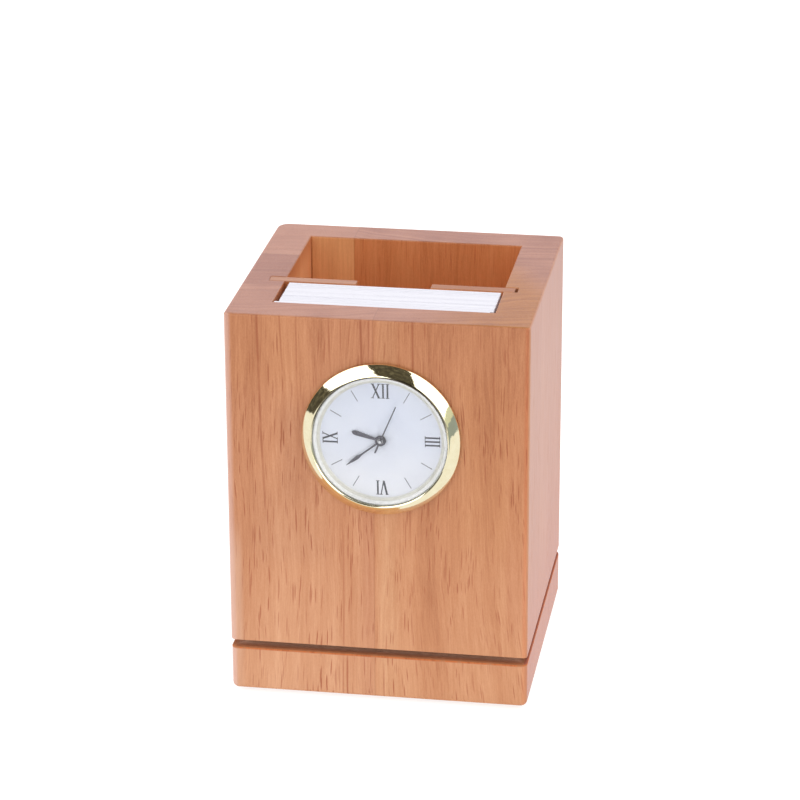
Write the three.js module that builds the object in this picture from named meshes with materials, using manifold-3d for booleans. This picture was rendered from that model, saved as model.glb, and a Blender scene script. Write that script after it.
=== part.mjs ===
// Wooden desk organizer with a small clock in its front face.
// A square wooden housing turns on a wooden base block. It holds a pen well and,
// behind the front board, a narrow slot for a stack of memo sheets.
// Millimetres, +Z up, +X to the right, the clock looks along -Y.
// Origin: centre of the felt pad's underside, which is also on the swivel axis.

import * as THREE from 'three';
import { mergeVertices } from 'three/addons/utils/BufferGeometryUtils.js';
import Module from 'manifold-3d';

const wasm = await Module();
wasm.setup();

// ---------------------------------------------------------------- dimensions
// wooden block
const W = 95.0; // width, X
const D = 90.4; // depth, Y
const R_EDGE = 2.4; // rounding of the four upright edges
const PAD_T = 1.2; // felt pad thickness
const PAD_W = 84.0;
const PAD_D = 79.0;
const BASE_T = 15.0; // base block thickness
const BASE_R = 1.8; // rounding of the base block's top and bottom edges
const GAP = 2.2; // air gap between base block and housing
const BODY_H = 110.4; // housing height
const WALL = 12.5; // wall thickness of the housing
const FLOOR_T = 10.0; // floor board thickness
const JOINT = 0.3; // glue-line allowance between boards
// divider between memo slot and pen well
const DIV_FRONT = 32.4; // its front face, from the housing's front face
const DIV_T = 4.0;
const DIV_LEFT = -39.4; // ends of the divider in its two kerfs
const DIV_RIGHT = 38.4;
const KERF_LEFT = -39.7; // bottoms of the kerfs
const KERF_RIGHT = 39.3;
const KERF_SIDE = 0.2; // play beside the divider in a kerf
const NOTCH_X0 = -11.8; // finger notch in the divider's top edge
const NOTCH_X1 = 12.0;
const NOTCH_DEEP = 16.0;
const NOTCH_R = 6.0;
// memo sheets, 68 x 100 mm
const MEMO_X0 = -33.7;
const MEMO_X1 = 33.9;
const MEMO_BACK = 31.8; // back of the stack, from the housing's front face
const MEMO_LIP = 1.0; // front sheets, pushed a little to the left
const MEMO_SHIFT = -1.0;
// swivel: two steel plates with a ball race between them
const PLATE_W = 62.0;
const PLATE_T = 1.2;
const PLATE_R = 5.0;
const POCKET_W = 64.0; // recess for a plate in base block and floor board
const POCKET_R = 6.0;
const POCKET_BASE = 3.0; // recess depths
const POCKET_FLOOR = 2.9;
const RACE_R = 20.0; // ball circle radius
const RACE_IN = 16.2;
const RACE_OUT = 23.8;
const BALL_R = 1.9;
const BALLS = 8;
const GROOVE_R = 2.2;
const CAGE_IN = 17.4;
const CAGE_OUT = 22.6;
const CAGE_T = 0.6;
const EYELET_R = 7.0; // centre eyelet that keeps the plates together
const EYELET_BORE = 5.0;
const EYELET_FLANGE = 9.0;
const SCREW_XY = 24.0; // screw pattern, half spacing
// clock insert
const CLOCK_X = 1.56; // centre of the dial on the front face
const CLOCK_Z_ABOVE_BASE = 89.05; // above the underside of the base block
const HOLE_R = 23.0; // blind hole for the insert in the front board
const HOLE_DEEP = 10.4;
const BEZEL_R = 25.0;
const HOUR_ANGLE = 285.9; // hand positions, clockwise from twelve, degrees
const MINUTE_ANGLE = 231.4;
const SECOND_ANGLE = 22.9;
const HOUR_LEN = 9.36;
const MINUTE_LEN = 13.95;
const SECOND_LEN = 12.65;
const SECOND_TAIL = 4.1;
// gear train: teeth and modules
const T_CANNON = 8, T_MINUTE = 24, M_MOTION_1 = 0.3;
const T_MPINION = 6, T_HOUR = 24, M_MOTION_2 = 0.32;
const T_SET = 8;
const T_SPINION = 6, T_THIRD = 45, M_TRAIN_1 = 0.24;
const T_TPINION = 6, T_CENTRE = 48, M_TRAIN_2 = 6.12 / 27;
const T_FPINION = 6, T_SECOND = 24, M_TRAIN_3 = 5.95 / 15;
const T_RPINION = 6, T_FIFTH = 45, M_TRAIN_4 = 4.76 / 25.5;
const A_MOTION = 4.8; // distances between axes
const A_THIRD = 6.12;
const A_FIFTH = 5.95;
const A_ROTOR = 4.76;
const DEG = Math.PI / 180;
const at = (r, deg, from = [0, 0]) => [from[0] + r * Math.cos(deg * DEG), from[1] + r * Math.sin(deg * DEG)];
const DIR_MINUTE = -50, DIR_SET = -20, DIR_THIRD = 10, DIR_FIFTH = 130, DIR_ROTOR = 165;
const P_MINUTE = at(A_MOTION, DIR_MINUTE);
const P_SET = at(A_MOTION, DIR_SET, P_MINUTE);
const P_THIRD = at(A_THIRD, DIR_THIRD);
const P_FIFTH = at(A_FIFTH, DIR_FIFTH);
const P_ROTOR = at(A_ROTOR, DIR_ROTOR, P_FIFTH);
const P_CELL = [0, -9.9];
const CELL_R = 3.95;

// derived heights
const Z_BASE = PAD_T;
const Z_BASE_TOP = Z_BASE + BASE_T;
const Z_BODY = Z_BASE_TOP + GAP;
const Z_TOP = Z_BODY + BODY_H;
const Z_FLOOR = Z_BODY + FLOOR_T;
const Y_FRONT = -D / 2;
const Z_BALL = (Z_BASE_TOP + Z_BODY) / 2 - 0.05;

// ---------------------------------------------------------------- materials
const mat = (color, roughness, metalness, extra = {}) =>
  new THREE.MeshStandardMaterial({ color, roughness, metalness, ...extra });
const WOOD = mat(0xcf9168, 0.5, 0);
const WOOD_END = mat(0xc8957a, 0.55, 0);
const GOLD = mat(0xe8d48a, 0.12, 1);
const CREAM = mat(0xe6dfc4, 0.25, 0.6);
const GLASS = mat(0xf4f8fb, 0.05, 0, { transparent: true, opacity: 0.25 });
const WHITE = mat(0xe3e6f1, 0.5, 0);
const DARK = mat(0x504e5c, 0.35, 0.6);
const STEEL = mat(0xb9bcc0, 0.35, 1);
const BRASS = mat(0xc9a24a, 0.3, 1);
const BLACK = mat(0x26262a, 0.45, 0);
const IVORY = mat(0xd9d6cc, 0.5, 0);
const PAPER = mat(0xf1f1f7, 0.8, 0);
const FELT = mat(0x3d3a37, 0.95, 0);
const COPPER = mat(0xb4622f, 0.4, 0.8);
const BOARD = mat(0x2f6b45, 0.5, 0);

// ---------------------------------------------------------------- geometry helpers
function solid(geometry) {
  const bare = geometry.clone();
  bare.deleteAttribute('normal');
  bare.deleteAttribute('uv');
  const merged = mergeVertices(bare, 1e-5);
  const idx = merged.index.array;
  const tri = [];
  for (let i = 0; i < idx.length; i += 3) {
    const [a, b, c] = [idx[i], idx[i + 1], idx[i + 2]];
    if (a !== b && b !== c && a !== c) tri.push(a, b, c);
  }
  return new wasm.Manifold(new wasm.Mesh({
    numProp: 3,
    vertProperties: Float32Array.from(merged.getAttribute('position').array),
    triVerts: Uint32Array.from(tri),
  }));
}

function geometryOf(manifold) {
  const m = manifold.getMesh();
  const g = new THREE.BufferGeometry();
  g.setAttribute('position', new THREE.BufferAttribute(Float32Array.from(m.vertProperties), 3));
  g.setIndex(new THREE.BufferAttribute(Uint32Array.from(m.triVerts), 1));
  g.computeVertexNormals();
  return g;
}

const union = (...s) => s.reduce((a, b) => a.add(b));
const cut = (a, ...s) => s.reduce((x, b) => x.subtract(b), a);

function mesh(name, shape, material) {
  const g = shape.isBufferGeometry ? geometryOf(solid(shape)) : geometryOf(shape);
  const m = new THREE.Mesh(g, material);
  m.name = name;
  return m;
}

function roundedRect(w, d, r, cx = 0, cy = 0) {
  const s = new THREE.Shape();
  const x0 = cx - w / 2, x1 = cx + w / 2, y0 = cy - d / 2, y1 = cy + d / 2;
  s.moveTo(x0 + r, y0);
  s.lineTo(x1 - r, y0);
  s.absarc(x1 - r, y0 + r, r, -Math.PI / 2, 0);
  s.lineTo(x1, y1 - r);
  s.absarc(x1 - r, y1 - r, r, 0, Math.PI / 2);
  s.lineTo(x0 + r, y1);
  s.absarc(x0 + r, y1 - r, r, Math.PI / 2, Math.PI);
  s.lineTo(x0, y0 + r);
  s.absarc(x0 + r, y0 + r, r, Math.PI, 1.5 * Math.PI);
  return s;
}

const polygon = (pts) => new THREE.Shape(pts.map(([x, y]) => new THREE.Vector2(x, y)));

function extrude(shape, z0, z1, segs = 6) {
  const g = new THREE.ExtrudeGeometry(shape, { depth: z1 - z0, bevelEnabled: false, curveSegments: segs });
  g.translate(0, 0, z0);
  return g;
}

const box = (x0, x1, y0, y1, z0, z1) => {
  const g = new THREE.BoxGeometry(x1 - x0, y1 - y0, z1 - z0);
  g.translate((x0 + x1) / 2, (y0 + y1) / 2, (z0 + z1) / 2);
  return solid(g);
};

// cylinder along Z
const rod = (r, z0, z1, p = [0, 0], segs = 16) => {
  const g = new THREE.CylinderGeometry(r, r, z1 - z0, segs);
  g.rotateX(Math.PI / 2);
  g.translate(p[0], p[1], (z0 + z1) / 2);
  return solid(g);
};

// body of revolution about Z from a counter-clockwise (radius, height) profile
function lathe(profile, segs = 48) {
  const onAxis = profile[0][0] === 0;
  const pts = profile.map(([r, z]) => new THREE.Vector2(r, z));
  if (!onAxis) pts.push(pts[0].clone());
  const g = new THREE.LatheGeometry(pts, segs);
  g.rotateX(Math.PI / 2);
  return solid(g);
}

const moved = (s, p) => s.translate([p[0], p[1], 0]);

// spur gear outline, a tooth centred at angle phase
function gearShape(teeth, module, phase, bore = 0) {
  const r = (teeth * module) / 2;
  const tip = r + 0.55 * module;
  const root = r - 1.0 * module;
  const p = (2 * Math.PI) / teeth;
  const pts = [];
  for (let i = 0; i < teeth; i++) {
    const c = phase + i * p;
    for (const [rad, off] of [[root, -0.22], [tip, -0.09], [tip, 0.09], [root, 0.22]]) {
      pts.push(new THREE.Vector2(rad * Math.cos(c + off * p), rad * Math.sin(c + off * p)));
    }
  }
  const s = new THREE.Shape(pts);
  if (bore) {
    const h = new THREE.Path();
    h.absarc(0, 0, bore, 0, 2 * Math.PI, true);
    s.holes.push(h);
  }
  return s;
}

const gear = (teeth, module, phase, z0, z1, bore = 0) => solid(extrude(gearShape(teeth, module, phase, bore), z0, z1, 8));

// phase of gear B so that it meshes with gear A; dir is the direction from A to B
function meshPhase(teethA, phaseA, teethB, dirDeg) {
  const pA = (2 * Math.PI) / teethA;
  const pB = (2 * Math.PI) / teethB;
  const fA = (dirDeg * DEG - phaseA) / pA;
  return dirDeg * DEG + Math.PI - (0.5 - fA) * pB;
}

// ---------------------------------------------------------------- base
const root = new THREE.Group();
const base = new THREE.Group();
root.add(base);

base.add(mesh('rest_pad', extrude(roundedRect(PAD_W, PAD_D, 3), 0, PAD_T - 0.05, 4), FELT));

{
  const inset = roundedRect(W - 2 * BASE_R, D - 2 * BASE_R, R_EDGE - BASE_R + 0.3);
  const g = new THREE.ExtrudeGeometry(inset, {
    depth: BASE_T - 2 * BASE_R, bevelEnabled: true, bevelThickness: BASE_R, bevelSize: BASE_R, bevelSegments: 2, curveSegments: 2,
  });
  g.translate(0, 0, Z_BASE + BASE_R);
  let b = solid(g);
  b = cut(b,
    solid(extrude(roundedRect(POCKET_W, POCKET_W, POCKET_R), Z_BASE_TOP - POCKET_BASE, Z_BASE_TOP + 1, 3)),
    rod(EYELET_FLANGE + 0.8, Z_BASE_TOP - POCKET_BASE - 1.1, Z_BASE_TOP, [0, 0], 20));
  for (const x of [-SCREW_XY, SCREW_XY]) for (const y of [-SCREW_XY, SCREW_XY]) {
    b = cut(b, rod(3.5, Z_BASE - 1, Z_BASE + 3.2, [x, y], 12), rod(1.9, Z_BASE, Z_BASE_TOP, [x, y], 8));
  }
  base.add(mesh('base_block', b, WOOD));
}

const Z_LOW = Z_BASE_TOP - POCKET_BASE + 0.1; // underside of the lower plate
const Z_HIGH = Z_BODY + POCKET_FLOOR - 0.1; // top of the upper plate
const RACE_GAP = 0.65; // half distance between the two races

function racePlate(zPlate0, zPlate1, up) {
  const zFace = up ? Z_BALL - RACE_GAP : Z_BALL + RACE_GAP;
  const half = Math.sqrt(GROOVE_R ** 2 - RACE_GAP ** 2);
  const a0 = Math.atan2(RACE_GAP, half);
  const arc = [];
  for (let i = 0; i <= 4; i++) {
    const a = a0 + ((Math.PI - 2 * a0) * i) / 4;
    arc.push([RACE_R + GROOVE_R * Math.cos(a), Z_BALL - (up ? 1 : -1) * GROOVE_R * Math.sin(a)]);
  }
  const zBack = up ? zPlate0 + 0.3 : zPlate1 - 0.3;
  const profile = up
    ? [[RACE_IN, zBack], [RACE_OUT, zBack], [RACE_OUT, zFace], ...arc, [RACE_IN, zFace]]
    : [[RACE_IN, zFace], ...arc.slice().reverse(), [RACE_OUT, zFace], [RACE_OUT, zBack], [RACE_IN, zBack]];
  let s = solid(extrude(roundedRect(PLATE_W, PLATE_W, PLATE_R), zPlate0, zPlate1, 4));
  s = union(s, lathe(profile, 32));
  s = cut(s, rod(EYELET_R + 0.6, zPlate0 - 5, zPlate1 + 5, [0, 0], 20));
  for (const x of [-SCREW_XY, SCREW_XY]) for (const y of [-SCREW_XY, SCREW_XY]) {
    s = cut(s, rod(1.9, zPlate0 - 1, zPlate1 + 1, [x, y], 8));
  }
  return s;
}

base.add(mesh('swivel_lower_plate', racePlate(Z_LOW, Z_LOW + PLATE_T, true), STEEL));
base.add(mesh('swivel_eyelet', lathe([
  [EYELET_BORE, Z_LOW - 0.8], [EYELET_FLANGE, Z_LOW - 0.8], [EYELET_FLANGE, Z_LOW - 0.3], [EYELET_R, Z_LOW - 0.3],
  [EYELET_R, Z_HIGH + 0.3], [EYELET_FLANGE, Z_HIGH + 0.3], [EYELET_FLANGE, Z_HIGH + 0.8], [EYELET_BORE, Z_HIGH + 0.8],
], 20), STEEL));

let n = 0;
for (const x of [-SCREW_XY, SCREW_XY]) for (const y of [-SCREW_XY, SCREW_XY]) {
  n += 1;
  let s = union(rod(3.0, Z_BASE + 0.4, Z_BASE + 2.9, [x, y], 10), rod(1.5, Z_BASE + 2.8, Z_LOW + PLATE_T + 0.7, [x, y], 8));
  s = cut(s, box(x - 2.1, x + 2.1, y - 0.35, y + 0.35, Z_BASE, Z_BASE + 1.5), box(x - 0.35, x + 0.35, y - 2.1, y + 2.1, Z_BASE, Z_BASE + 1.5));
  base.add(mesh(`base_screw_${n}`, s, STEEL));
}

// ---------------------------------------------------------------- ball cage
const cage = new THREE.Group();
root.add(cage);
{
  let c = lathe([[CAGE_IN, Z_BALL - CAGE_T / 2], [CAGE_OUT, Z_BALL - CAGE_T / 2], [CAGE_OUT, Z_BALL + CAGE_T / 2], [CAGE_IN, Z_BALL + CAGE_T / 2]], 32);
  for (let i = 0; i < BALLS; i++) {
    const p = at(RACE_R, (i + 0.5) * (360 / BALLS));
    c = cut(c, rod(BALL_R + 0.3, Z_BALL - 2, Z_BALL + 2, p, 10));
    const b = new THREE.SphereGeometry(BALL_R, 8, 6);
    b.rotateX(Math.PI / 2);
    const ball = mesh(`ball_${i + 1}`, b, STEEL);
    ball.position.set(p[0], p[1], Z_BALL);
    cage.add(ball);
  }
  cage.add(mesh('ball_cage', c, BRASS));
}

// ---------------------------------------------------------------- housing
const housing = new THREE.Group();
root.add(housing);

function wallOutline(front) {
  // front or back board: rounded at its two outer upright edges only
  const s = new THREE.Shape();
  const y0 = Y_FRONT, y1 = Y_FRONT + WALL, x = W / 2, r = R_EDGE;
  s.moveTo(-x + r, y0);
  s.lineTo(x - r, y0);
  s.absarc(x - r, y0 + r, r, -Math.PI / 2, 0);
  s.lineTo(x, y1);
  s.lineTo(-x, y1);
  s.lineTo(-x, y0 + r);
  s.absarc(-x + r, y0 + r, r, Math.PI, 1.5 * Math.PI);
  const g = extrude(s, Z_BODY, Z_TOP, 4);
  if (!front) g.rotateZ(Math.PI);
  return solid(g);
}

const CLOCK_Z = Z_BASE + CLOCK_Z_ABOVE_BASE;
{
  const hole = new THREE.CylinderGeometry(HOLE_R, HOLE_R, HOLE_DEEP + 1, 64);
  hole.translate(CLOCK_X, Y_FRONT + (HOLE_DEEP - 1) / 2, CLOCK_Z);
  housing.add(mesh('front_board', cut(wallOutline(true), solid(hole)), WOOD));
  housing.add(mesh('back_board', wallOutline(false), WOOD));
}

const Y_IN0 = Y_FRONT + WALL + JOINT;
const Y_IN1 = -Y_FRONT - WALL - JOINT;
const Y_DIV0 = Y_FRONT + DIV_FRONT;
const Y_DIV1 = Y_DIV0 + DIV_T;
const X_IN = W / 2 - WALL;
housing.add(mesh('left_board', cut(
  box(-W / 2, -X_IN, Y_IN0, Y_IN1, Z_BODY, Z_TOP),
  box(KERF_LEFT, -X_IN + 1, Y_DIV0 - KERF_SIDE, Y_DIV1 + KERF_SIDE, Z_FLOOR, Z_TOP + 1)), WOOD));
housing.add(mesh('right_board', cut(
  box(X_IN, W / 2, Y_IN0, Y_IN1, Z_BODY, Z_TOP),
  box(X_IN - 1, KERF_RIGHT, Y_DIV0 - KERF_SIDE, Y_DIV1 + KERF_SIDE, Z_FLOOR, Z_TOP + 1)), WOOD));

{
  let f = box(-X_IN + JOINT, X_IN - JOINT, Y_IN0, Y_IN1, Z_BODY, Z_FLOOR);
  f = cut(f,
    solid(extrude(roundedRect(POCKET_W, POCKET_W - 1, POCKET_R), Z_BODY - 1, Z_BODY + POCKET_FLOOR, 3)),
    rod(EYELET_FLANGE + 0.8, Z_BODY, Z_HIGH + 1.1, [0, 0], 20));
  for (const x of [-SCREW_XY, SCREW_XY]) for (const y of [-SCREW_XY, SCREW_XY]) {
    f = cut(f, rod(1.7, Z_BODY, Z_HIGH + 6.4, [x, y], 8));
  }
  housing.add(mesh('floor_board', f, WOOD));
}

{
  const z0 = Z_FLOOR + JOINT, z1 = Z_TOP - 0.1, zn = z1 - NOTCH_DEEP, r = NOTCH_R;
  const s = new THREE.Shape();
  s.moveTo(DIV_LEFT, z0);
  s.lineTo(DIV_RIGHT, z0);
  s.lineTo(DIV_RIGHT, z1);
  s.lineTo(NOTCH_X1, z1);
  s.lineTo(NOTCH_X1, zn + r);
  s.absarc(NOTCH_X1 - r, zn + r, r, 0, -Math.PI / 2, true);
  s.lineTo(NOTCH_X0 + r, zn);
  s.absarc(NOTCH_X0 + r, zn + r, r, -Math.PI / 2, -Math.PI, true);
  s.lineTo(NOTCH_X0, z1);
  s.lineTo(DIV_LEFT, z1);
  const g = new THREE.ExtrudeGeometry(s, { depth: DIV_T, bevelEnabled: false, curveSegments: 6 });
  g.rotateX(Math.PI / 2);
  g.translate(0, Y_DIV1, 0);
  housing.add(mesh('divider', g, WOOD));
}

housing.add(mesh('swivel_upper_plate', racePlate(Z_HIGH - PLATE_T, Z_HIGH, false), STEEL));
n = 0;
for (const x of [-SCREW_XY, SCREW_XY]) for (const y of [-SCREW_XY, SCREW_XY]) {
  n += 1;
  const z = Z_HIGH - PLATE_T - 0.3;
  let s = union(rod(2.8, z - 1.2, z, [x, y], 10), rod(1.3, z - 0.1, Z_HIGH + 6.0, [x, y], 8));
  s = cut(s, box(x - 1.9, x + 1.9, y - 0.35, y + 0.35, z - 2, z - 0.6), box(x - 0.35, x + 0.35, y - 1.9, y + 1.9, z - 2, z - 0.6));
  housing.add(mesh(`plate_screw_${n}`, s, STEEL));
}

// ---------------------------------------------------------------- memo sheets
{
  const y0 = Y_IN0, y1 = Y_FRONT + MEMO_BACK, yl = y0 + MEMO_LIP, dx = MEMO_SHIFT;
  const s = polygon([
    [MEMO_X0 + dx, y0], [MEMO_X1 + dx, y0], [MEMO_X1 + dx, yl], [MEMO_X1, yl], [MEMO_X1, y1], [MEMO_X0, y1], [MEMO_X0, yl], [MEMO_X0 + dx, yl],
  ]);
  root.add(mesh('memo_stack', extrude(s, Z_FLOOR + JOINT, Z_TOP - 0.2), PAPER));
}

// ---------------------------------------------------------------- clock insert
// local frame: +Z out of the face towards the viewer, +Y up, wood surface at z = 0
const clock = new THREE.Group();
clock.position.set(CLOCK_X, Y_FRONT, CLOCK_Z);
clock.rotation.x = Math.PI / 2;
housing.add(clock);
const add = (name, s, m) => clock.add(mesh(name, s, m));

add('clock_bezel', lathe([
  [22.6, -2.4], [22.6, 0.2], [25.0, 0.2], [25.0, 1.05], [24.85, 1.35], [21.9, 3.9],
  [21.6, 3.95], [21.3, 3.75], [21.3, 3.3], [22.15, 3.3], [22.15, -2.4],
], 64), GOLD);
add('clock_lens', lathe([
  [0, 3.35], [10, 3.22], [20.6, 2.85], [21.85, 2.85], [21.85, 3.15], [21.1, 3.15], [20.3, 3.5], [14, 3.9], [7, 4.12], [0, 4.2],
], 40), GLASS);
add('inner_ring', lathe([[19.15, 1.55], [21.85, 1.55], [21.85, 2.55], [21.1, 2.55]], 48), CREAM);
add('dial', lathe([[1.9, 0.9], [21.7, 0.9], [21.7, 1.3], [1.9, 1.3]], 36), WHITE);
{
  let c = lathe([[0, -9.3], [21.8, -9.3], [21.8, 0.6], [20.6, 0.6], [20.6, -8.3], [0, -8.3]], 36);
  c = cut(c, rod(5.5, -10, -8, P_CELL, 20), rod(2.4, -10, -8, P_SET, 16));
  add('clock_case', c, BLACK);
}
add('retaining_ring', lathe([[22.1, -8.6], [22.7, -8.6], [22.7, -2.8], [22.1, -2.8]], 36), BLACK);
add('movement_ring', lathe([[15.3, -6.5], [20.3, -6.5], [20.3, -1.7], [15.3, -1.7]], 28), IVORY);
{
  let p = lathe([[0, -2.5], [14.3, -2.5], [14.3, -6.5], [15, -6.5], [15, -1.7], [0, -1.7]], 28);
  p = cut(p, rod(1.15, -3, -1, [0, 0], 16), rod(0.75, -3, -1, P_SET, 10));
  for (const q of [P_THIRD, P_FIFTH, P_ROTOR]) p = cut(p, rod(0.42, -3, -1, q, 6));
  p = union(p, rod(0.3, -1.9, 0, P_MINUTE, 8));
  add('movement_plate', p, IVORY);
}
{
  let c = rod(15, -7.5, -6.8, [0, 0], 28);
  c = cut(c, rod(4.4, -8, -6, P_CELL, 20), rod(0.75, -8, -6, P_SET, 10));
  for (const q of [[0, 0], P_THIRD, P_FIFTH, P_ROTOR]) c = cut(c, rod(0.42, -8, -6, q, 6));
  add('movement_cover', c, IVORY);
}
add('circuit_board', extrude(polygon([[2.4, 6.2], [6.2, 6.2], [8.6, 4.6], [12.9, 4.6], [10.6, 8.8], [7, 11.9], [2.4, 13.4]]), -5.8, -5.4), BOARD);
{
  const a = [4.0, 11.0], b = [8.3, 8.8];
  const g = new THREE.CylinderGeometry(0.85, 0.85, Math.hypot(b[0] - a[0], b[1] - a[1]), 10);
  g.rotateZ(Math.atan2(b[1] - a[1], b[0] - a[0]) - Math.PI / 2);
  g.translate((a[0] + b[0]) / 2, (a[1] + b[1]) / 2, -4.4);
  add('quartz_crystal', g, STEEL);
}
add('timing_chip', box(9.2, 11.6, 5.1, 7.5, -5.3, -4.75), BLACK);
{
  const coil = new THREE.LatheGeometry([[0.75, -4.1], [1.2, -4.1], [1.2, 2.9], [0.75, 2.9], [0.75, -4.1]].map(([r, y]) => new THREE.Vector2(r, y)), 16);
  coil.translate(-11.2, 0, -3.9);
  add('coil', coil, COPPER);
  const s = polygon([
    [-12.6, -6.0], [-7.6, -6.0], [-7.6, 3.4], [-6.0, 3.4], [-6.0, 8.2], [-10.8, 8.2], [-12.9, 4.9], [-12.9, 3.2], [-11.65, 3.2], [-11.65, -4.4], [-12.6, -4.4],
  ]);
  let st = solid(extrude(s, -4.3, -3.5));
  st = cut(st, box(-10.75, -9.6, -4.4, 3.2, -5, -3), rod(2.0, -5, -3, P_ROTOR, 20));
  add('stator', st, STEEL);
}
add('button_cell', union(rod(CELL_R, -6.1, -3.9, P_CELL, 24), rod(CELL_R - 0.5, -4.0, -3.5, P_CELL, 24)), STEEL);
add('cell_contact', extrude(polygon([
  [-1.2, -11.8], [4.5, -11.8], [11.2, -7.0], [12.6, 2.0], [12.3, 5.6], [10.8, 5.6], [11.0, 2.0], [9.8, -6.2], [3.8, -10.2], [-1.2, -10.2],
]), -6.5, -6.3), BRASS);
{
  let h = union(rod(5.2, -9.3, -8.4, P_CELL, 24), rod(3.9, -8.5, -6.9, P_CELL, 20));
  h = cut(h, box(P_CELL[0] - 3.6, P_CELL[0] + 3.6, P_CELL[1] - 0.6, P_CELL[1] + 0.6, -10, -8.8));
  add('cell_hatch', h, BLACK);
}

// ---------------------------------------------------------------- hands and wheels
const hand = (name, s, clockDeg, m) => {
  const h = mesh(name, s, m);
  h.rotation.z = -clockDeg * DEG;
  clock.add(h);
};
hand('hour_hand', cut(union(
  rod(1.75, 1.55, 1.75, [0, 0], 24),
  solid(extrude(polygon([[-0.36, 0.8], [0.36, 0.8], [0.68, 8.2], [0.62, 8.7], [0, HOUR_LEN], [-0.62, 8.7], [-0.68, 8.2]]), 1.55, 1.75)),
), rod(1.4, 1, 3, [0, 0], 20)), HOUR_ANGLE, DARK);
hand('minute_hand', cut(union(
  rod(1.6, 2.05, 2.25, [0, 0], 24),
  solid(extrude(polygon([[-0.3, 0.8], [0.3, 0.8], [0.3, 7.7], [0.58, 9.3], [0, MINUTE_LEN], [-0.58, 9.3], [-0.3, 7.7]]), 2.05, 2.25)),
), rod(0.93, 1, 3, [0, 0], 16)), MINUTE_ANGLE, DARK);
hand('second_hand', cut(union(
  rod(0.66, 2.55, 3.0, [0, 0], 16),
  solid(extrude(polygon([[-0.27, -SECOND_TAIL], [0.27, -SECOND_TAIL], [0.2, 0], [0.13, SECOND_LEN], [-0.13, SECOND_LEN], [-0.2, 0]]), 2.6, 2.75)),
), rod(0.33, 2.2, 3.2, [0, 0], 12)), SECOND_ANGLE, DARK);

// motion work in front of the movement plate
const phCannon = 0.0;
const phMinute = meshPhase(T_CANNON, phCannon, T_MINUTE, DIR_MINUTE);
const phSet = meshPhase(T_MINUTE, phMinute, T_SET, DIR_SET);
const phMPinion = 0.3;
const phHour = meshPhase(T_MPINION, phMPinion, T_HOUR, DIR_MINUTE + 180);
add('cannon_pinion', union(
  gear(T_CANNON, M_MOTION_1, phCannon, -1.3, -0.9, 0.45),
  lathe([[0.45, -3.5], [0.85, -3.5], [0.85, 2.35], [0.45, 2.35]], 16)), STEEL);
add('minute_wheel', moved(union(
  gear(T_MINUTE, M_MOTION_1, phMinute, -1.3, -0.9, 0.42),
  gear(T_MPINION, M_MOTION_2, phMPinion, -0.95, -0.1, 0.42)), P_MINUTE), BRASS);
add('hour_wheel', union(
  gear(T_HOUR, M_MOTION_2, phHour, -0.6, -0.1, 1.05),
  lathe([[1.05, -0.6], [1.3, -0.6], [1.3, 1.8], [1.05, 1.8]], 20)), BRASS);
{
  const p = P_SET;
  let k = union(
    moved(gear(T_SET, M_MOTION_1, phSet, -1.3, -0.9), p),
    rod(0.5, -8.2, -1.2, p, 8),
    moved(gear(14, 0.285, 0, -9.9, -8.0), p));
  add('set_knob', k, BLACK);
}

// going train behind the movement plate
const phTPinion = 0.1;
const phCentre = meshPhase(T_TPINION, phTPinion, T_CENTRE, DIR_THIRD + 180);
const phSPinion = 0.2;
const phThird = meshPhase(T_SPINION, phSPinion, T_THIRD, DIR_THIRD);
const phSecond = 0.0;
const phFPinion = meshPhase(T_SECOND, phSecond, T_FPINION, DIR_FIFTH);
const phFifth = 0.05;
const phRotor = meshPhase(T_FIFTH, phFifth, T_RPINION, DIR_ROTOR);
add('centre_wheel', gear(T_CENTRE, M_TRAIN_2, phCentre, -3.3, -2.9, 0.95), BRASS);
add('third_wheel', moved(union(
  gear(T_THIRD, M_TRAIN_1, phThird, -4.5, -4.1),
  gear(T_TPINION, M_TRAIN_2, phTPinion, -4.2, -2.9),
  rod(0.22, -7.2, -2.0, [0, 0], 6)), P_THIRD), IVORY);
add('second_wheel', union(
  gear(T_SECOND, M_TRAIN_3, phSecond, -5.3, -4.9),
  gear(T_SPINION, M_TRAIN_1, phSPinion, -5.0, -4.1),
  rod(0.25, -7.2, 2.95, [0, 0], 6)), IVORY);
add('fifth_wheel', moved(union(
  gear(T_FIFTH, M_TRAIN_4, phFifth, -6.0, -5.6),
  gear(T_FPINION, M_TRAIN_3, phFPinion, -5.7, -4.9),
  rod(0.22, -7.2, -2.0, [0, 0], 6)), P_FIFTH), IVORY);
add('rotor', moved(union(
  rod(1.6, -4.6, -3.2, [0, 0], 20),
  gear(T_RPINION, M_TRAIN_4, phRotor, -6.0, -5.6),
  rod(0.22, -7.2, -2.0, [0, 0], 6)), P_ROTOR), BLACK);

root.updateMatrixWorld(true);
export default root;
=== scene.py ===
# Wooden desk organizer with a small clock: looks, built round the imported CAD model.
# Lengths in this file are millimetres unless a name says otherwise; meshes are scaled to metres when made.
import math
import random

import bmesh
import bpy
from mathutils import Matrix, Vector
from mathutils.geometry import tessellate_polygon


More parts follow.
